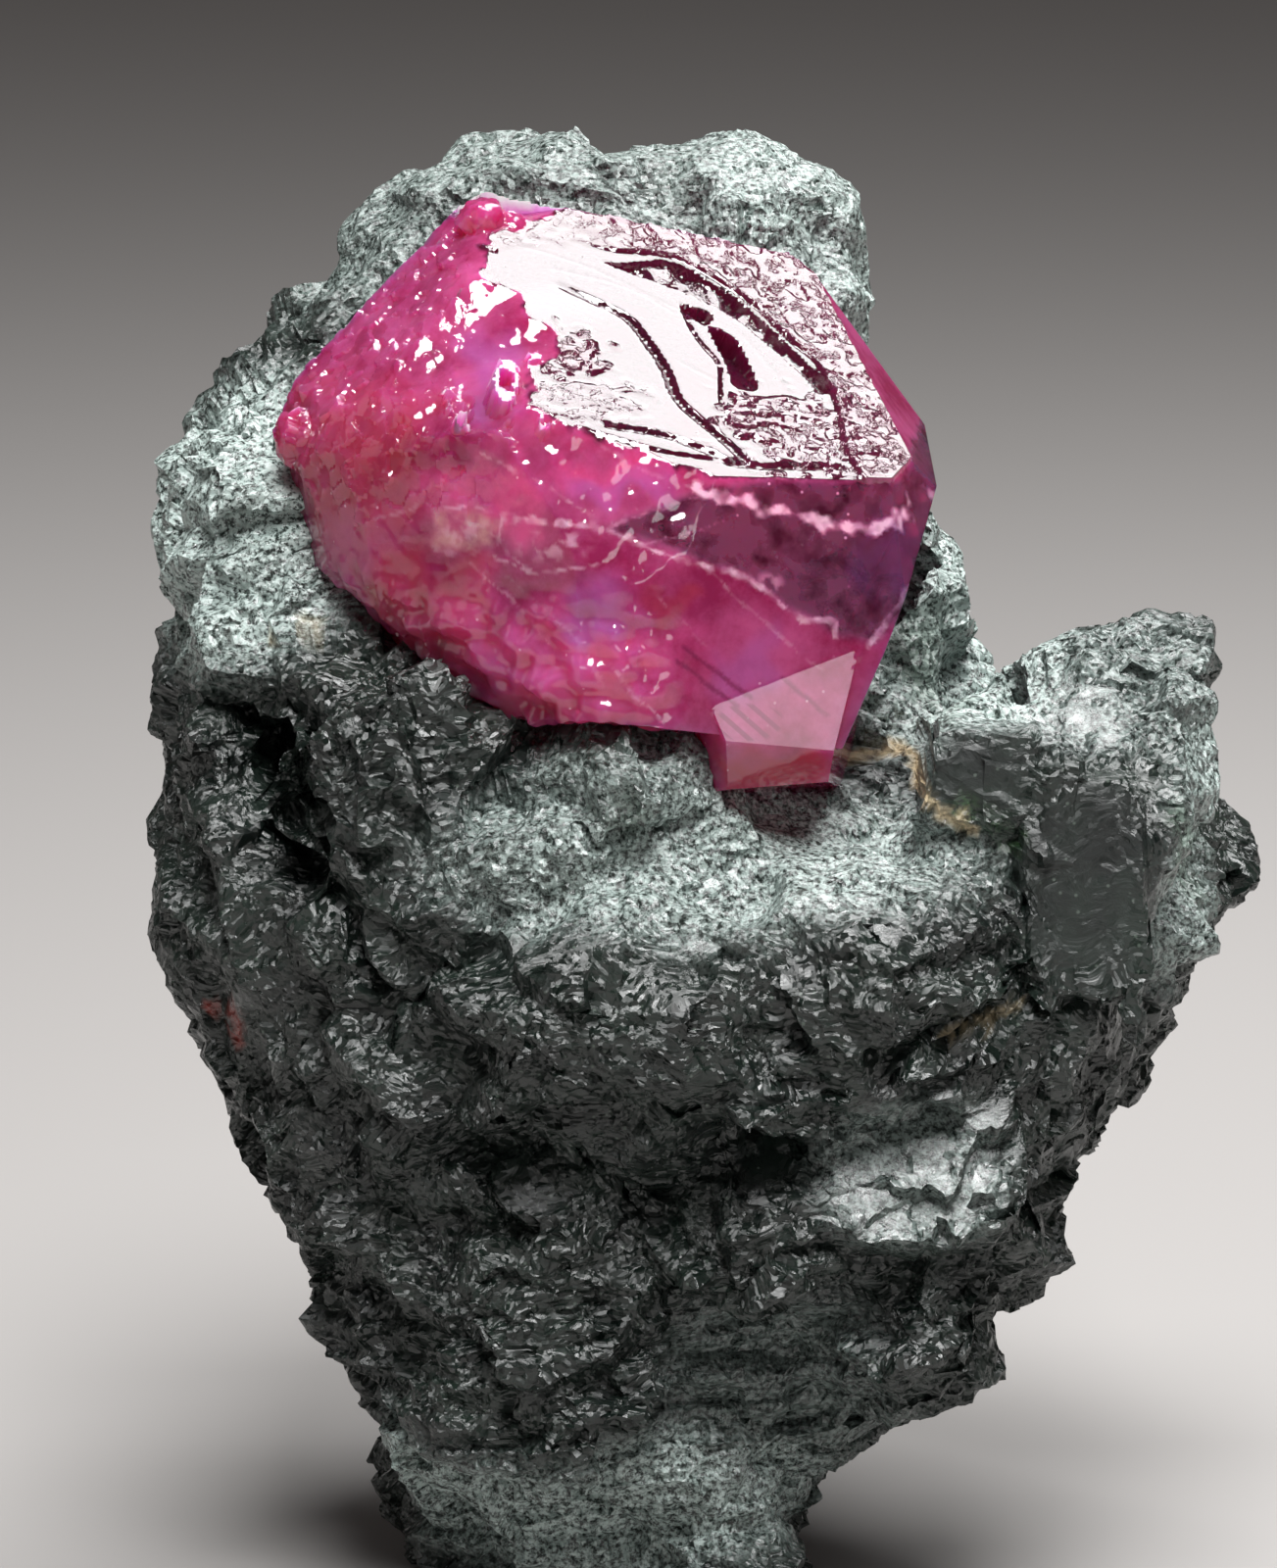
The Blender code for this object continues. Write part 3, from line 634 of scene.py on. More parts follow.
RIM_EDGE = (
    (-2.6, 2.9), (-1.2, 3.15), (-0.4, 2.65), (0.65, 2.4), (1.07, 2.1), (1.6, 1.35), (1.9, 0.74),
    (2.15, -0.04), (2.4, -0.7), (2.4, -1.4), (2.2, -2.3), (2.0, -3.3), (2.6, -5.4), (6.0, -5.0),
    (6.0, 5.0), (-2.6, 5.0),
)
# Flat rings in the sloping part that shine too, seen from the front: middle, half widths
GLINT_RINGS = (
    ((-3.03, 23.1), (0.27, 0.36)),
    ((-2.32, 23.1), (0.24, 0.38)),
    ((-3.1, 22.4), (0.18, 0.2)),
    ((-2.29, 22.3), (0.2, 0.22)),
    ((-1.8, 23.3), (0.15, 0.28)),
    ((-1.6, 22.4), (0.16, 0.16)),
)
# Rough patches of the mirror face: middle, half widths, height of the roughness
ROUGH_PATCHES = (
    ((-2.1, -0.1), (0.75, 0.75), 0.035),
    ((-2.6, -1.3), (1.9, 0.75), 0.014),
    ((1.5, -2.5), (1.7, 1.3), 0.026),
    ((0.6, -2.0), (0.7, 0.6), 0.03),
    ((-0.9, 3.4), (2.0, 0.55), 0.01),
    ((-3.3, 2.2), (0.5, 0.9), 0.02),
)
FLANK_SLOPE = 0.62  # how steeply the mirror face falls away outside its bright part
LOW_FLANK_SLOPE = 0.25  # added to it at the lower end
FLANK_REACH = 3.0  # beyond this distance it falls no further
SWELL = 0.0025  # of its faint waves
STEP_HEIGHT = 0.045
STEP_WIDTH, STEP_DEPTH = 0.14, 0.09  # of the groove along the step
PIT_DEPTH = 0.11
GROOVE_DEPTH, GROOVE_SWELL = 0.16, 0.05
RIM_HEIGHT, RIM_RELIEF = 0.04, 0.03
PATCH_RELIEF = 1.2


def mirror_frame():
    outward = unit(np.array(MIRROR_FACE[0]))
    across = unit(np.array([-outward[1], outward[0], 0.0]))
    return outward, across, np.cross(outward, across), np.array(MIRROR_FACE[1])


def mirror_shine(spots, flat, front_spots):
    """How much places of the mirror face shine, and how far they are outside its bright part."""
    frayed = spots + 0.09 * wander(flat, 0.4, 53)
    inside = depth_inside(frayed, BRIGHT_PART)
    outside = soft_distance(spots + 0.25 * (frayed - spots), BRIGHT_PART)
    beyond = np.where(inside < 0.0, outside, 0.0)
    front_spots = front_spots + 0.04 * wander(flat, 0.3, 55)
    for middle, half in GLINT_RINGS:
        reach = np.linalg.norm((front_spots - np.array(middle)) / np.array(half), axis=1)
        ring = (reach > 0.5) & (reach < 1.0)
        beyond[ring] = beyond[np.argmin(reach)]
    return smoothstep(-0.12, 0.02, inside), beyond


def cut_line(spots, line, width, depth):
    return depth * smoothstep(width, 0.0, line_distance(spots, rounded(line, False)))


def mirror_relief(spots, front_spots):
    """The mirror face's height above its plane, how rough it is and how much it shines, at some places."""
    u, v = spots.T
    flat = np.column_stack([u, v, np.zeros(len(u))])
    shine, beyond = mirror_shine(spots, flat, front_spots)
    height = SWELL * waves(flat, 2.2, 41)
    steepness = FLANK_SLOPE + LOW_FLANK_SLOPE * smoothstep(0.5, -1.0, v)
    height -= steepness * np.minimum(beyond, FLANK_REACH) * smoothstep(2.0, 1.0, u)
    step = STEP_HEIGHT * smoothstep(2.0, 0.7, v)
    height += step * smoothstep(-0.05, 0.05, depth_inside(spots, rounded(TERRACE)))
    height -= cut_line(spots, STEP_LINE, STEP_WIDTH, STEP_DEPTH) * smoothstep(2.2, 1.0, v)
    for line, width, depth in CUT_LINES:
        height -= cut_line(spots, line, width, depth)
    for pit in LEAF_PITS:
        inside = smoothstep(0.0, 0.07, depth_inside(spots, rounded(pit)))
        height -= inside * (PIT_DEPTH + 0.3 * (v - np.mean([point[1] for point in pit])) + 0.12 * u)
    groove = smoothstep(0.0, 0.08, depth_inside(spots, rounded(GROOVE)))
    height -= groove * (GROOVE_DEPTH + GROOVE_SWELL * waves(flat, 0.9, 43))
    rim = smoothstep(0.0, 0.12, depth_inside(spots, rounded(RIM_EDGE)))
    radial = smoothstep(-0.5, -0.1, waves(flat * np.array([1.0, 0.6, 1.0]), 0.36, 45))
    outer = smoothstep(-0.9, 0.4, u)
    height += rim * outer * (RIM_HEIGHT + RIM_RELIEF * radial)
    rough = np.maximum(0.35 * groove, rim * (0.35 + 0.65 * outer))
    for (cu, cv), (ru, rv), relief in ROUGH_PATCHES:
        reach = np.hypot((u - cu) / ru, (v - cv) / rv) + 0.25 * waves(flat, 0.5, 49)
        patch = 1.0 - smoothstep(0.55, 1.0, reach)
        height += shine * patch * PATCH_RELIEF * relief * smoothstep(-0.5, -0.1, waves(flat, 0.34, 51))
        rough = np.maximum(rough, patch * np.clip(relief / 0.03, 0.3, 1.0))
    return height, rough * shine, shine


# Seen from the front, across and up: a striped place, and dark lines beside it
STRIPED = ((1.95, 16.98), (0.75, 0.42))
DARK_LINES = (((0.83, 18.3), (1.95, 17.45)), ((0.7, 18.05), (1.75, 17.25)), ((2.5, 17.8), (3.3, 17.1)))
CLEAR_PART = (
    (-0.56, 20.5), (1.2, 21.2), (2.4, 21.35), (4.6, 21.35), (5.0, 22.6), (5.8, 23.0), (6.5, 21.5),
    (5.9, 20.2), (4.69, 18.9), (4.09, 18.39), (3.49, 18.55), (2.38, 19.23), (1.83, 19.61),
)
# A pale patch
WINDOW = ((-3.66, 20.77), (-2.39, 20.7), (-2.46, 20.03), (-3.63, 20.1))
# White veins, and painted glints and painted internal reflections along edges, rims and cracks: line, width,
# strength
VEIN_AND_GLINT_LINES = (
    (((-0.56, 20.5), (0.49, 19.96), (1.83, 19.61), (2.38, 19.23), (2.89, 18.86)), 0.06, 0.8),
    (((-0.56, 20.5), (1.28, 21.11)), 0.03, 0.35),
    (((1.1, 21.15), (2.15, 20.85), (3.46, 20.5), (4.1, 20.45), (4.6, 20.6)), 0.13, 1.3),
    (((4.55, 20.5), (4.72, 20.9)), 0.16, 1.2),
    (((-2.39, 20.65), (-1.57, 20.57), (-0.68, 20.5)), 0.08, 0.9),
    (((-2.51, 19.9), (-1.83, 19.7), (-0.68, 19.8)), 0.035, 0.7),
    (((-2.77, 21.79), (-1.57, 21.24), (-0.68, 20.57)), 0.04, 0.6),
    (((-3.11, 19.98), (-2.26, 19.23), (-1.57, 18.39)), 0.035, 0.3),
    (((-2.3, 19.6), (-1.2, 18.6), (-0.6, 17.6)), 0.03, 0.2),
    (((-0.54, 18.0), (0.1, 17.3), (0.83, 16.54)), 0.05, 0.7),
    (((0.2, 20.2), (1.5, 20.55)), 0.025, 0.35),
    (((-3.5, 20.8), (-2.9, 20.85), (-2.39, 20.7), (-2.45, 20.2)), 0.05, 0.6),
    (((-3.6, 20.1), (-3.1, 20.0), (-2.6, 20.1)), 0.05, 0.4),
    (((-2.4, 20.6), (-2.3, 20.0), (-1.9, 19.75)), 0.04, 0.6),
    (((-1.2, 22.4), (-0.2, 21.6), (0.9, 21.2)), 0.03, 0.3),
    (((1.2, 19.7), (2.4, 18.6), (3.2, 17.9)), 0.03, 0.3),
    (((0.2, 19.4), (1.4, 18.2)), 0.025, 0.25),
    (((-4.6, 20.6), (-3.8, 20.9)), 0.05, 0.4),
    (((2.63, 18.92), (2.89, 18.82), (3.47, 18.76), (3.44, 18.55)), 0.07, 1.0),
    (((-4.0, 18.34), (-3.63, 17.88), (-2.86, 17.51)), 0.12, 0.5),
    (((5.0, 21.3), (5.35, 20.9), (5.2, 20.1), (4.6, 19.1), (4.0, 18.3)), 0.06, 0.6),
)
# Places seen from the front, each with its middle, half widths and strength
# Hazy whitish patches, partly painted internal reflection
VEIL_AND_GLINT_PATCHES = (
    ((-1.5, 20.15), (0.85, 0.36), 0.55), ((2.3, 19.5), (0.28, 0.25), 0.4), ((-3.0, 20.4), (0.66, 0.36), 0.35),
)
MILKY = (
    ((-0.71, 18.94), (1.2, 1.0), 0.7),
    ((1.9, 17.88), (0.8, 0.7), 0.5),
    ((-0.3, 21.1), (1.3, 0.5), 0.6),
    ((-2.6, 23.2), (0.6, 1.2), 0.6),
    ((4.3, 20.0), (1.1, 1.2), 0.9),
    ((5.6, 20.8), (0.7, 1.4), 0.6),
)
# Painted light: brighter colour on lower and left parts of the crystal's front that the lamps leave in shade
PAINTED_LIGHT_PARTS = (
    ((-1.0, 18.2), (3.0, 1.5), 0.75),
    ((-2.9, 21.0), (1.6, 0.9), 0.8),
    ((-3.2, 18.8), (1.4, 1.2), 0.8),
    ((1.2, 20.9), (1.6, 0.5), 0.3),
    ((-0.6, 21.3), (1.5, 0.6), 0.7),
)
RED_PARTS = (
    ((-4.9, 21.6), (1.9, 2.2), 0.7),
    ((-3.7, 18.9), (1.6, 1.6), 0.9),
    ((2.4, 15.9), (1.5, 0.6), 1.0),
    ((-1.5, 17.3), (2.2, 0.7), 0.7),
    ((4.1, 20.3), (0.35, 0.4), 0.9),
    ((0.7, 19.2), (0.5, 0.4), 0.5),
)


def veils_and_glints(points, spots):
    """How white the veins and hazy patches are, with their painted glints and painted internal reflections.
    """
    broken = 0.6 + 0.4 * waves(points, 0.35, 63)
    stray = waves(points, 0.45, 67)
    veil_and_glint = np.zeros(len(points))
    for line, width, strength in VEIN_AND_GLINT_LINES:
        away = line_distance(spots, line) + 0.5 * width * stray
        veil_and_glint = np.maximum(veil_and_glint, strength * broken * smoothstep(width, 0.3 * width, away))
    hazy = smoothstep(0.0, 0.7, waves(points, 0.3, 64))
    return np.maximum(veil_and_glint, strongest(spots, VEIL_AND_GLINT_PATCHES) * hazy)


def crystal_masks(points):
    """Where the crystal's front is clear, veiled with white veins and painted glints, milky, red, pale,
    striped, lined, or painted lighter as painted light on parts in shade.
    """
    spots = seen(points) + 0.03 * wander(points, 0.8, 61)
    strayed = spots + 0.3 * wander(points, 1.3, 65)
    front = smoothstep(-1.0, -3.0, points[:, 1])
    clear = smoothstep(-0.12, 0.12, depth_inside(spots, CLEAR_PART)) * smoothstep(2.0, 0.0, points[:, 1])
    window = smoothstep(-0.06, 0.2, depth_inside(spots + 0.25 * (strayed - spots), WINDOW))
    lines = np.max([smoothstep(0.06, 0.02, line_distance(spots, line)) for line in DARK_LINES], axis=0)
    return {
        "clear": clear,
        "veil_and_glint": np.clip(veils_and_glints(points, spots) * front, 0, 1),
        "milky": strongest(strayed, MILKY) * front,
        "red": strongest(strayed, RED_PARTS),
        "window": window * front,
        "striped": spot(spots, *STRIPED) * front,
        "lines": lines * front,
        "painted_light": strongest(strayed, PAINTED_LIGHT_PARTS) * front,
    }


ETCHED_AREA = 330  # in square millimetres
ETCHED_SPACING = 0.3
ETCHED_TILT = 0.1
ETCHED_SINK, ETCHED_REACH = 0.03, 0.09
STEPPED_SHARE = 0.17  # of the etched hillocks, those that are parallel to the mirror face


def etch(points, normals):
    """Growth hillocks on the crystal's left and lower faces, some of them parallel to the mirror face."""
    outward = mirror_frame()[0]
    chance = np.random.default_rng(71)
    off_mirror = 1.0 - smoothstep(0.9, 0.97, normals @ outward)
    left = smoothstep(-1.6, -3.4, points[:, 0]) * (0.35 + 0.65 * smoothstep(19.5, 21.5, points[:, 2]))
    strength = left * off_mirror
    clustered = smoothstep(0.0, 0.4, waves(points, 1.4, 77))
    chosen = chance.choice(len(points), int(ETCHED_AREA / ETCHED_SPACING ** 2), replace=False)
    cell = chosen[nearest(points, points[chosen])]
    facing = unit(normals[cell] + chance.normal(0.0, ETCHED_TILT, (len(points), 3))[cell])
    stepped = (chance.uniform(size=len(points)) < STEPPED_SHARE * clustered)[cell]
    facing[stepped & (normals[cell] @ outward > 0.45)] = outward
    sunk = chance.uniform(-ETCHED_SINK, ETCHED_SINK, len(points))[cell]
    rise = dots(facing, points[cell] - points) + sunk
    return points + facing * (np.clip(rise, -ETCHED_REACH, ETCHED_REACH) * strength)[:, None], strength


def thin_out(thing, hidden=None):
    """Brings a piece down to its number of triangles, first where it is hidden."""
    triangles = sum(len(face.vertices) - 2 for face in thing.data.polygons)
    if triangles <= MOST_TRIANGLES:
        return
    step = thing.modifiers.new("Decimate", "DECIMATE")
    step.ratio = MOST_TRIANGLES / triangles
    if hidden is not None:
        group = thing.vertex_groups.new(name="hidden")
        group.add(np.flatnonzero(hidden).tolist(), 1.0, "REPLACE")
        step.vertex_group = group.name
        step.vertex_group_factor = HIDDEN_FIRST
    settle(thing)


def join_crystal():
    """The crystal's bodies and bumps as one piece with an even mesh."""
    crystal = block("crystal_surface", CRYSTAL_BODIES[0])
    others = [block("twin", CRYSTAL_BODIES[1])] + [ball("bump", *bump) for bump in BUMPS]
    for other in others:
        step = crystal.modifiers.new("Union", "BOOLEAN")
        step.operation = "UNION"
        step.solver = "EXACT"
        step.object = other
        settle(crystal)
        bpy.data.objects.remove(other, do_unlink=True)
    step = crystal.modifiers.new("Remesh", "REMESH")
    step.mode = "SHARP"
    step.octree_depth = 8
    step.scale = CRYSTAL_GRID
    step.sharpness = 1.0
    step.use_remove_disconnected = True
    settle(crystal)
    return crystal


def shape_crystal(points, normals):
    """The crystal's points with their relief, and how mirror-like and how rough they are."""
    outward, across, up_slope, middle = mirror_frame()
    spots = np.column_stack([(points - middle) @ across, (points - middle) @ up_slope])
    bumps = bump_distance(points)
    on_mirror = smoothstep(-0.05, -0.005, (points - middle) @ outward) * (normals @ outward > 0.8)
    on_mirror *= smoothstep(0.02, 0.1, bumps)
    height, rough, shine = mirror_relief(spots, seen(points))
    shaped, etched = etch(points, normals)
    lower_edge = smoothstep(19.6, 18.6, points[:, 2]) * smoothstep(1.0, -0.5, points[:, 0])
    shaped += normals * (lower_edge * 0.07 * waves(points, 0.65, 73))[:, None]
    shaped += normals * (smoothstep(0.1, 0.0, bumps) * 0.05 * waves(points, 0.5, 74))[:, None]
    flank = np.maximum(0.0, (shaped - middle) @ outward - height) * (normals @ outward > 0.05)
    flank *= smoothstep(0.02, 0.1, bumps) * (height < -0.05)
    shaped -= outward * flank[:, None]
    shaped = np.where(on_mirror[:, None] > 0, points + outward * (height * on_mirror)[:, None], shaped)
    return shaped, on_mirror * shine * (1.0 - 0.15 * rough), np.maximum(rough * on_mirror, 0.2 * etched)


def make_crystal():
    crystal = join_crystal()
    mesh = crystal.data
    normals = read(mesh, "normal")
    points, mirror, rough = shape_crystal(read(mesh, "co"), normals)
    write_points(mesh, points)
    for name, values in (crystal_masks(points) | {"mirror": mirror, "rough": rough}).items():
        set_attribute(mesh, name, values)
    thin_out(crystal, (points[:, 1] > 0.0) | (normals[:, 2] < -0.4))
    mesh = crystal.data
    mesh.transform(Matrix.Scale(MM, 4) @ Matrix.Translation(-Vector(MIDDLE)))
    mesh.polygons.foreach_set("use_smooth", [True] * len(mesh.polygons))
    mesh.set_sharp_from_angle(angle=SHARP_ANGLE)
    return crystal


# Materials

class Paint:
    """Builds one material's node tree."""

    def __init__(self, name):
        self.material = bpy.data.materials.new(name)
        self.material.use_nodes = True
        self.tree = self.material.node_tree
        self.surface = self.tree.nodes["Principled BSDF"]
        self.output = self.tree.nodes["Material Output"]

    def node(self, kind, values=None, **settings):
        made = self.tree.nodes.new("ShaderNode" + kind)
        for key, value in settings.items():
            setattr(made, key, value)
        for key, value in (values or {}).items():
            self.feed(made.inputs[key], value)
        return made

    def feed(self, socket, value):
        if isinstance(value, bpy.types.NodeSocket):
            self.tree.links.new(value, socket)
        elif hasattr(value, "outputs"):
            self.tree.links.new(value.outputs[0], socket)
        else:
            socket.default_value = value

    def cover(self, values):
        for name, value in values.items():
            self.feed(self.surface.inputs[name], value)

    def maths(self, operation, *values, clamp=False):
        made = self.node("Math", operation=operation, use_clamp=clamp)
        for socket, value in zip(made.inputs, values):
            self.feed(socket, value)
        return made.outputs[0]

    def times(self, first, second):
        return self.maths("MULTIPLY", first, second)

    def vector_maths(self, operation, *values):
        made = self.node("VectorMath", operation=operation)
        sockets = [made.inputs[0], made.inputs["Scale"]] if operation == "SCALE" else made.inputs
        for socket, value in zip(sockets, values):
            self.feed(socket, value)
        return made.outputs["Value" if operation == "DOT_PRODUCT" else "Vector"]

    def mix(self, share, first, second):
        values = {"Factor": share, "A": first, "B": second}
        return self.node("Mix", values, data_type="RGBA").outputs["Result"]

    def span(self, value, low, high, to_low=0.0, to_high=1.0):
        made = self.node("MapRange", clamp=True)
        for socket, number in zip(made.inputs, (value, low, high, to_low, to_high)):
            self.feed(socket, number)
        return made.outputs[0]

    def attribute(self, name):
        return self.node("Attribute", attribute_name=name).outputs["Fac"]

    def place(self, scale=(1.0, 1.0, 1.0), turn=(0.0, 0.0, 0.0)):
        """Object coordinates in millimetres, turned and stretched."""
        coordinates = self.node("TexCoord").outputs["Object"]
        sides = [1000.0 * side for side in scale]
        return self.node("Mapping", {"Vector": coordinates, "Rotation": turn, "Scale": sides}).outputs[0]

    def noise(self, where, scale, detail=3.0, roughness=0.55):
        values = {"Vector": where, "Scale": scale, "Detail": detail, "Roughness": roughness}
        return self.node("TexNoise", values)

    def cells(self, where, scale):
        return self.node("TexVoronoi", {"Vector": where, "Scale": scale})

    def chance(self, cells, channel):
        """A random number for each cell."""
        return self.node("SeparateColor", {"Color": cells.outputs["Color"]}).outputs[channel]

    def tilted(self, normal, cells, amount):
        """The normal tilted at random in each cell."""
        offset = self.vector_maths("SUBTRACT", cells.outputs["Color"], (0.5, 0.5, 0.5))
        return self.vector_maths("ADD", normal, self.vector_maths("SCALE", offset, amount))


ROCK_BLACK = (0.003, 0.006, 0.005, 1)
ROCK_DARK = (0.012, 0.021, 0.016, 1)
# Pale grains, partly the rock's own colour and partly painted sheen and painted light
ROCK_PALE_AND_LIT = (0.43, 0.52, 0.49, 1)
ROCK_FLECK = (0.2, 0.25, 0.21, 1)
LEAF_GREEN = (0.03, 0.09, 0.02, 1)
CLAY_TAN = (0.5, 0.4, 0.24, 1)
MARK_RED = (0.25, 0.04, 0.03, 1)
ROCK_IOR = 1.65
FIBRE_TURN = (0.0, -0.15, -0.3)
COARSE_CELLS, FINE_CELLS, FLASHING_PLATES = 5.0, 13.0, 2.6  # in a millimetre
ROCK_BUMP = 0.00003  # in metres

RUBY_DEEP = (0.36, 0.02, 0.11, 1)
RUBY_BRIGHT = (0.62, 0.1, 0.29, 1)
RUBY_RED = (0.5, 0.042, 0.085, 1)
# Colour of the painted light on the crystal's shaded parts
RUBY_PAINTED_LIGHT = (0.96, 0.125, 0.4, 1)
RUBY_MILKY = (0.52, 0.14, 0.48, 1)
RUBY_DARK = (0.26, 0.016, 0.095, 1)
RUBY_CLEAR = (0.85, 0.22, 0.5, 1)
RUBY_MIRROR = (0.19, 0.018, 0.075, 1)
RUBY_WINDOW = (0.78, 0.38, 0.38, 1)
# White of the veins and of the painted glints and painted reflections
RUBY_VEIL_AND_GLINT = (0.85, 0.62, 0.74, 1)
RUBY_ABSORPTION = (0.9, 0.12, 0.35, 1)
ABSORPTION_DENSITY = 90.0
RUBY_IOR = 1.77
RUBY_BUMP = 0.00002  # in metres
GLOW_DEPTH = 0.0022  # how far light spreads under the surface, in metres
STRIPES, STRIPE_DIRECTION = 28.0, (0.66, 0.0, 0.75)


def rock_normal(paint, bent, fine):
    """Cells tilted at random. Some turn to the cleavage direction, so that they flash."""
    gloss, calm = paint.attribute("gloss"), paint.attribute("calm")
    normal = paint.node("NewGeometry").outputs["Normal"]
    facing = paint.vector_maths("DOT_PRODUCT", normal, CLEAVAGE)
    rugged = paint.maths("SUBTRACT", 1.0, paint.times(gloss, 0.85))
    rugged = paint.maths("SUBTRACT", rugged, paint.times(paint.attribute("even"), 0.5), clamp=True)
    rugged = paint.maths("SUBTRACT", rugged, paint.times(calm, 0.4), clamp=True)
    normal = paint.tilted(normal, paint.cells(bent, COARSE_CELLS), paint.times(rugged, 0.6))
    normal = paint.tilted(normal, fine, paint.times(rugged, 0.95))
    aligned = paint.times(paint.span(paint.chance(fine, 1), 0.84, 0.86), paint.span(facing, 0.35, 0.6))
    aligned = paint.maths("SUBTRACT", aligned, calm, clamp=True)
    plates = paint.chance(paint.cells(bent, FLASHING_PLATES), 1)
    flashing = paint.times(paint.times(gloss, paint.span(plates, 0.3, 0.34)), paint.span(facing, 0.0, 0.3))
    aligned = paint.maths("MAXIMUM", aligned, flashing)
    turned = paint.vector_maths("SCALE", CLEAVAGE, paint.times(aligned, 3.0))
    normal = paint.vector_maths("NORMALIZE", paint.vector_maths("ADD", normal, turned))
    relief = paint.noise(bent, 18.0, 4.0, 0.65).outputs[0]
    return paint.node("Bump", {"Strength": 0.5, "Distance": ROCK_BUMP, "Height": relief, "Normal": normal})


def rock_material():
    paint = Paint("amphibole")
    plain = paint.place()
    warp = paint.vector_maths("SCALE", paint.noise(plain, 0.7, 2.0).outputs["Color"], 1.2)
    bent = paint.vector_maths("ADD", paint.place((0.6, 1.0, 1.0), FIBRE_TURN), warp)
    fine = paint.cells(bent, FINE_CELLS)

    patch = paint.noise(plain, 0.9, 5.0, 0.6).outputs[0]
    grain = paint.noise(plain, 9.0, 4.0, 0.8).outputs[0]
    flecks = paint.span(paint.cells(plain, 4.0).outputs["Distance"], 0.16, 0.08)
    rust = paint.times(paint.attribute("rust"), paint.span(grain, 0.3, 0.5))
    colour = paint.mix(paint.span(patch, 0.35, 0.65), ROCK_BLACK, ROCK_DARK)
    for share, added in (
        # Pale grains: partly the rock's own colour, partly painted sheen on lit tops and painted light in
        # shadow
        (paint.times(paint.attribute("pale_and_lit"), paint.span(grain, 0.42, 0.58)), ROCK_PALE_AND_LIT),
        (paint.times(flecks, 0.35), ROCK_FLECK),
        (paint.times(paint.attribute("leaf"), paint.span(grain, 0.4, 0.6)), LEAF_GREEN),
        (rust, CLAY_TAN),
        (paint.attribute("red"), MARK_RED),
    ):
        colour = paint.mix(share, colour, added)

    roughness = paint.span(paint.chance(fine, 0), 0.0, 1.0, 0.14, 0.5)
    roughness = paint.maths("SUBTRACT", roughness, paint.times(paint.attribute("gloss"), 0.18))
    dull = paint.maths("ADD", paint.times(rust, 0.3), paint.times(paint.attribute("calm"), 0.2))
    paint.cover({
        "Base Color": colour,
        "Normal": rock_normal(paint, bent, fine),
        "Roughness": paint.maths("ADD", roughness, dull, clamp=True),
        "IOR": ROCK_IOR,
    })
    return paint.material


def ruby_colour(paint, plain, cloud, veil_and_glint):
    """Clouds of deep and bright red, then each kind of place painted over them in turn."""
    fleck = paint.noise(plain, 2.2, 3.0, 0.6).outputs[0]
    red = paint.times(paint.attribute("red"), paint.span(fleck, 0.3, 0.6, 0.5, 1.0))
    across = paint.vector_maths("DOT_PRODUCT", plain, STRIPE_DIRECTION)
    stripe = paint.span(paint.maths("SINE", paint.times(across, STRIPES)), 0.2, 0.6)
    stripe = paint.times(stripe, paint.span(paint.attribute("striped"), 0.1, 0.3))
    lines = paint.maths("MAXIMUM", stripe, paint.attribute("lines"))
    colour = paint.mix(paint.span(cloud, 0.38, 0.62), RUBY_DEEP, RUBY_BRIGHT)
    for share, added in (
        (red, RUBY_RED),
        # Painted light: brightens the shaded lower and left parts of the front
        (paint.times(paint.attribute("painted_light"), paint.span(cloud, 0.35, 0.6, 0.4, 1.0)), RUBY_PAINTED_LIGHT),
        (paint.attribute("clear"), paint.mix(paint.span(fleck, 0.32, 0.56), RUBY_DARK, RUBY_CLEAR)),
        (paint.times(paint.attribute("milky"), 0.8), RUBY_MILKY),
        (paint.times(red, 0.5), RUBY_RED),
        (paint.times(lines, 0.7), RUBY_DARK),
        (paint.times(paint.attribute("mirror"), 0.85), RUBY_MIRROR),
        (paint.times(paint.attribute("window"), paint.span(fleck, 0.35, 0.6, 0.15, 0.85)), RUBY_WINDOW),
        # Veins and dust in whitish pink, with painted glints and painted internal reflections
        (paint.times(veil_and_glint, 0.75), RUBY_VEIL_AND_GLINT),
    ):
        colour = paint.mix(share, colour, added)
    return colour


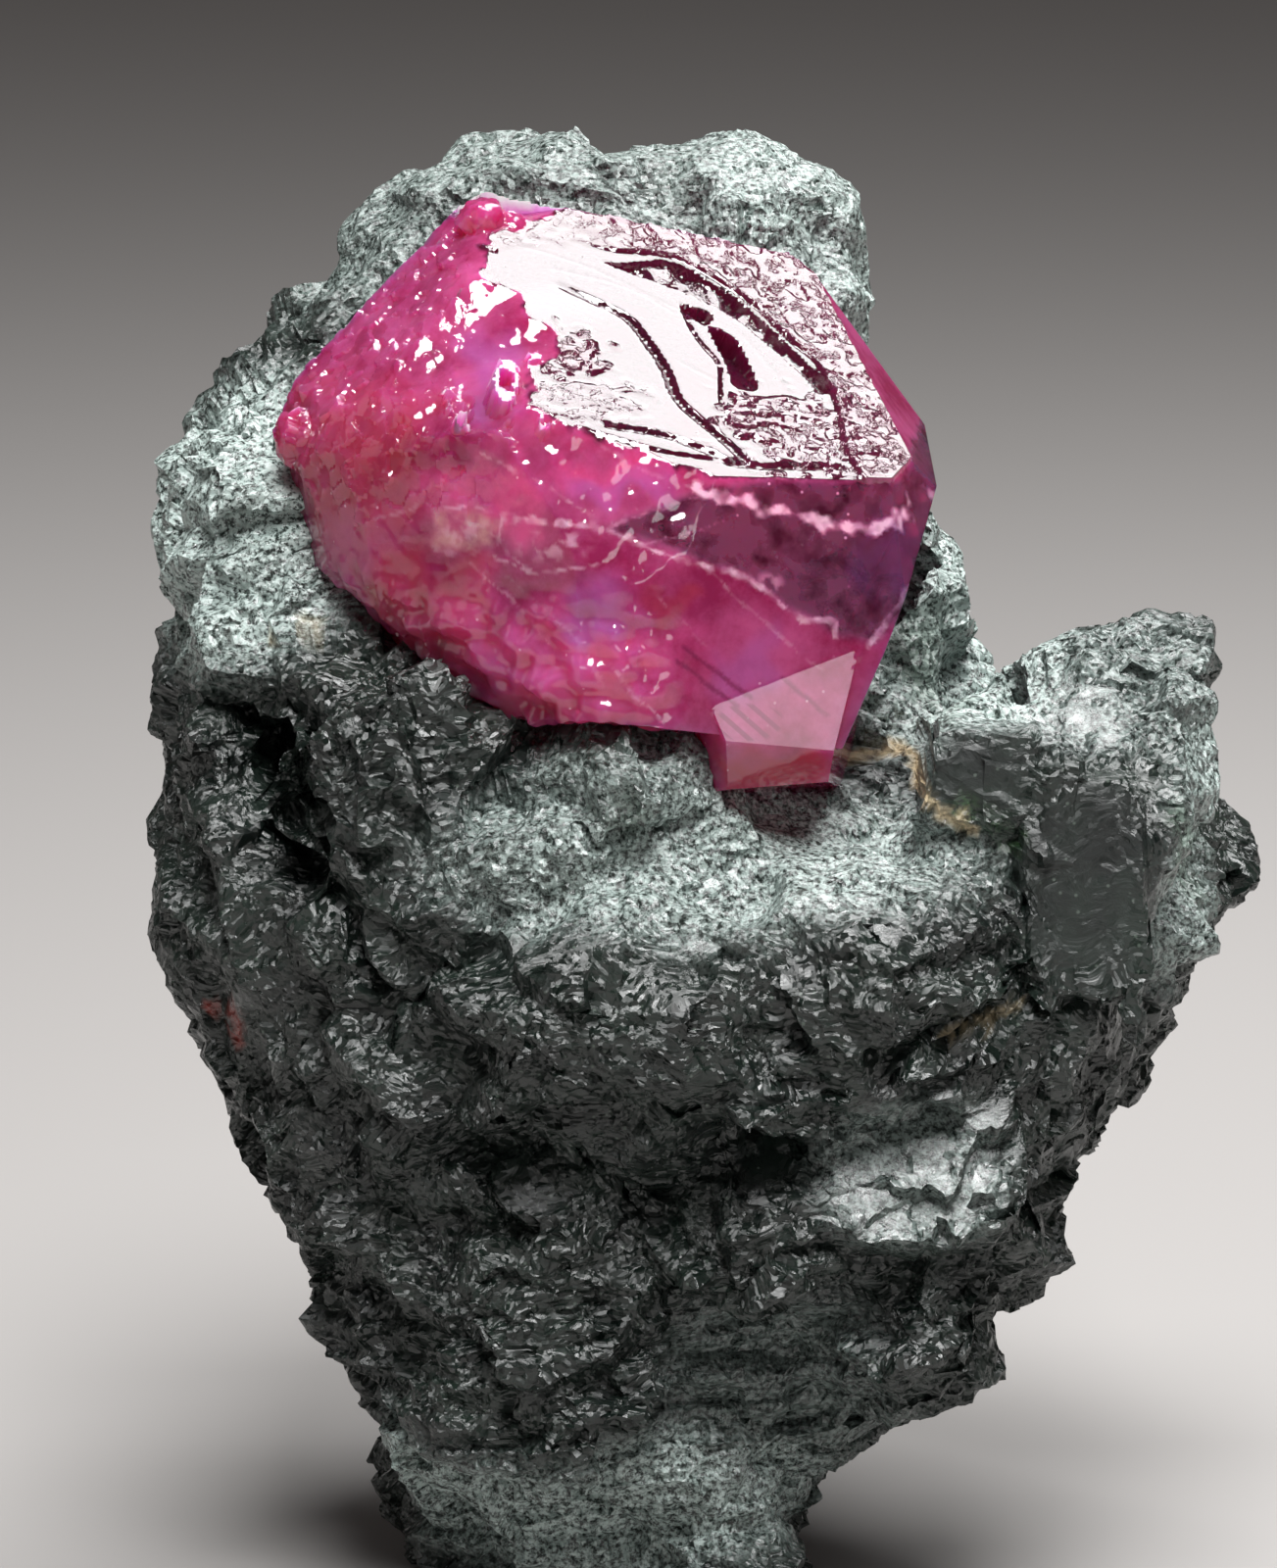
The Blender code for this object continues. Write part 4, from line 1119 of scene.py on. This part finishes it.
def ruby_material():
    paint = Paint("ruby")
    plain = paint.place()
    cloud = paint.noise(plain, 0.55, 6.0, 0.68).outputs[0]
    # Dust specks join the veins and the painted glints and reflections
    dust = paint.span(paint.cells(plain, 2.6).outputs["Distance"], 0.09, 0.04)
    dust = paint.times(dust, paint.span(cloud, 0.45, 0.55, 0.0, 0.7))
    veil_and_glint = paint.maths("MAXIMUM", paint.attribute("veil_and_glint"), dust)
    glassy = paint.maths("MAXIMUM", paint.attribute("clear"), paint.attribute("mirror"))
    see_through = paint.maths("ADD", 0.3, paint.times(glassy, 0.55))
    see_through = paint.times(see_through, paint.maths("SUBTRACT", 1.0, paint.times(veil_and_glint, 0.9)))
    depth = paint.node("VolumeAbsorption", {"Color": RUBY_ABSORPTION, "Density": ABSORPTION_DENSITY})
    paint.feed(paint.output.inputs["Volume"], depth)

    rough = paint.attribute("rough")
    grain = paint.noise(plain, 4.2, 3.0, 0.6).outputs[0]
    plateau = paint.times(paint.span(grain, 0.36, 0.48), rough)
    ripple = paint.times(paint.noise(plain, 12.0, 2.0).outputs[0], 0.02)
    height = paint.maths("ADD", plateau, ripple)
    paint.cover({
        "Base Color": ruby_colour(paint, plain, cloud, veil_and_glint),
        "Normal": paint.node("Bump", {"Strength": 1.0, "Distance": RUBY_BUMP, "Height": height}),
        "Roughness": paint.maths("ADD", 0.045, paint.times(rough, 0.06)),
        "Transmission Weight": see_through,
        "IOR": RUBY_IOR,
        "Subsurface Weight": 1.0,
        "Subsurface Radius": (1.0, 0.25, 0.5),
        "Subsurface Scale": GLOW_DEPTH,
    })
    return paint.material


# The specimen

rock = make_rock()
rock.data.materials.clear()
rock.data.materials.append(rock_material())
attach(rock, "root")
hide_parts("matrix")

crystal = make_crystal()
crystal.data.materials.clear()
crystal.data.materials.append(ruby_material())
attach(crystal, "root")
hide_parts("ruby_crystal")


# Floor, light and camera

FLOOR_RADIUS = 900.0
FLOOR_DROP = 0.02  # keeps the floor clear of the rock's foot
FLOOR_COLOUR = (0.40, 0.385, 0.375, 1)
WORLD_COLOUR = (0.055, 0.048, 0.046, 1)
LIT_POINT = (0.5, -3.0, 20.0)  # the lamps face this point of the crystal
# Lamps: name, direction from that point, distance, side, brightness
LAMPS = (
    ("main softbox", (0.30, 0.33, 0.90), 115.0, 75.0, 9.0),
    ("overhead front", (0.05, -0.42, 0.90), 190.0, 95.0, 20.0),
    ("pale card", (0.34, -0.90, 0.28), 300.0, 84.0, 2.5),
    ("left fill", (-0.95, -0.25, 0.4), 260.0, 120.0, 0.5),
)
LENS = 162.5
SENSOR = 36.0


def make_floor():
    bm = bmesh.new()
    bmesh.ops.create_circle(bm, cap_ends=True, segments=96, radius=FLOOR_RADIUS * MM)
    floor = from_bmesh("floor", bm)
    floor.location.z = -FLOOR_DROP * MM
    paint = Paint("floor")
    paint.cover({"Base Color": FLOOR_COLOUR, "Roughness": 0.6})
    floor.data.materials.append(paint.material)


def softbox(name, direction, distance, side, radiance):
    """A square lamp that faces the crystal from a direction, with a given brightness of its surface."""
    lamp = bpy.data.lights.new(name, "AREA")
    lamp.shape = "SQUARE"
    lamp.size = side * MM
    lamp.energy = radiance * np.pi * (side * MM) ** 2
    holder = new_object(name, lamp)
    outward = Vector(direction).normalized()
    holder.location = (Vector(LIT_POINT) - Vector(MIDDLE) + outward * distance) * MM
    holder.rotation_euler = outward.to_track_quat("Z", "Y").to_euler()


def make_camera():
    camera = bpy.data.cameras.new("camera")
    camera.sensor_fit = "AUTO"
    camera.sensor_width = SENSOR
    camera.lens = LENS
    camera.clip_start = 0.005
    camera.clip_end = 5.0
    holder = new_object("camera", camera)
    target = Vector((0.0, 0.0, VIEW_HEIGHT)) - Vector(MIDDLE)
    away = Vector((0.0, -np.cos(VIEW_TILT), np.sin(VIEW_TILT)))
    holder.location = (target + away * VIEW_DISTANCE) * MM
    holder.rotation_euler = away.to_track_quat("Z", "Y").to_euler()
    bpy.context.scene.camera = holder


def make_world():
    world = bpy.data.worlds.new("world")
    world.use_nodes = True
    backdrop = world.node_tree.nodes["Background"]
    backdrop.inputs["Color"].default_value = WORLD_COLOUR
    backdrop.inputs["Strength"].default_value = 1.0
    bpy.context.scene.world = world


make_floor()
for lamp in LAMPS:
    softbox(*lamp)
make_camera()
make_world()
bpy.context.scene.view_settings.view_transform = "Standard"
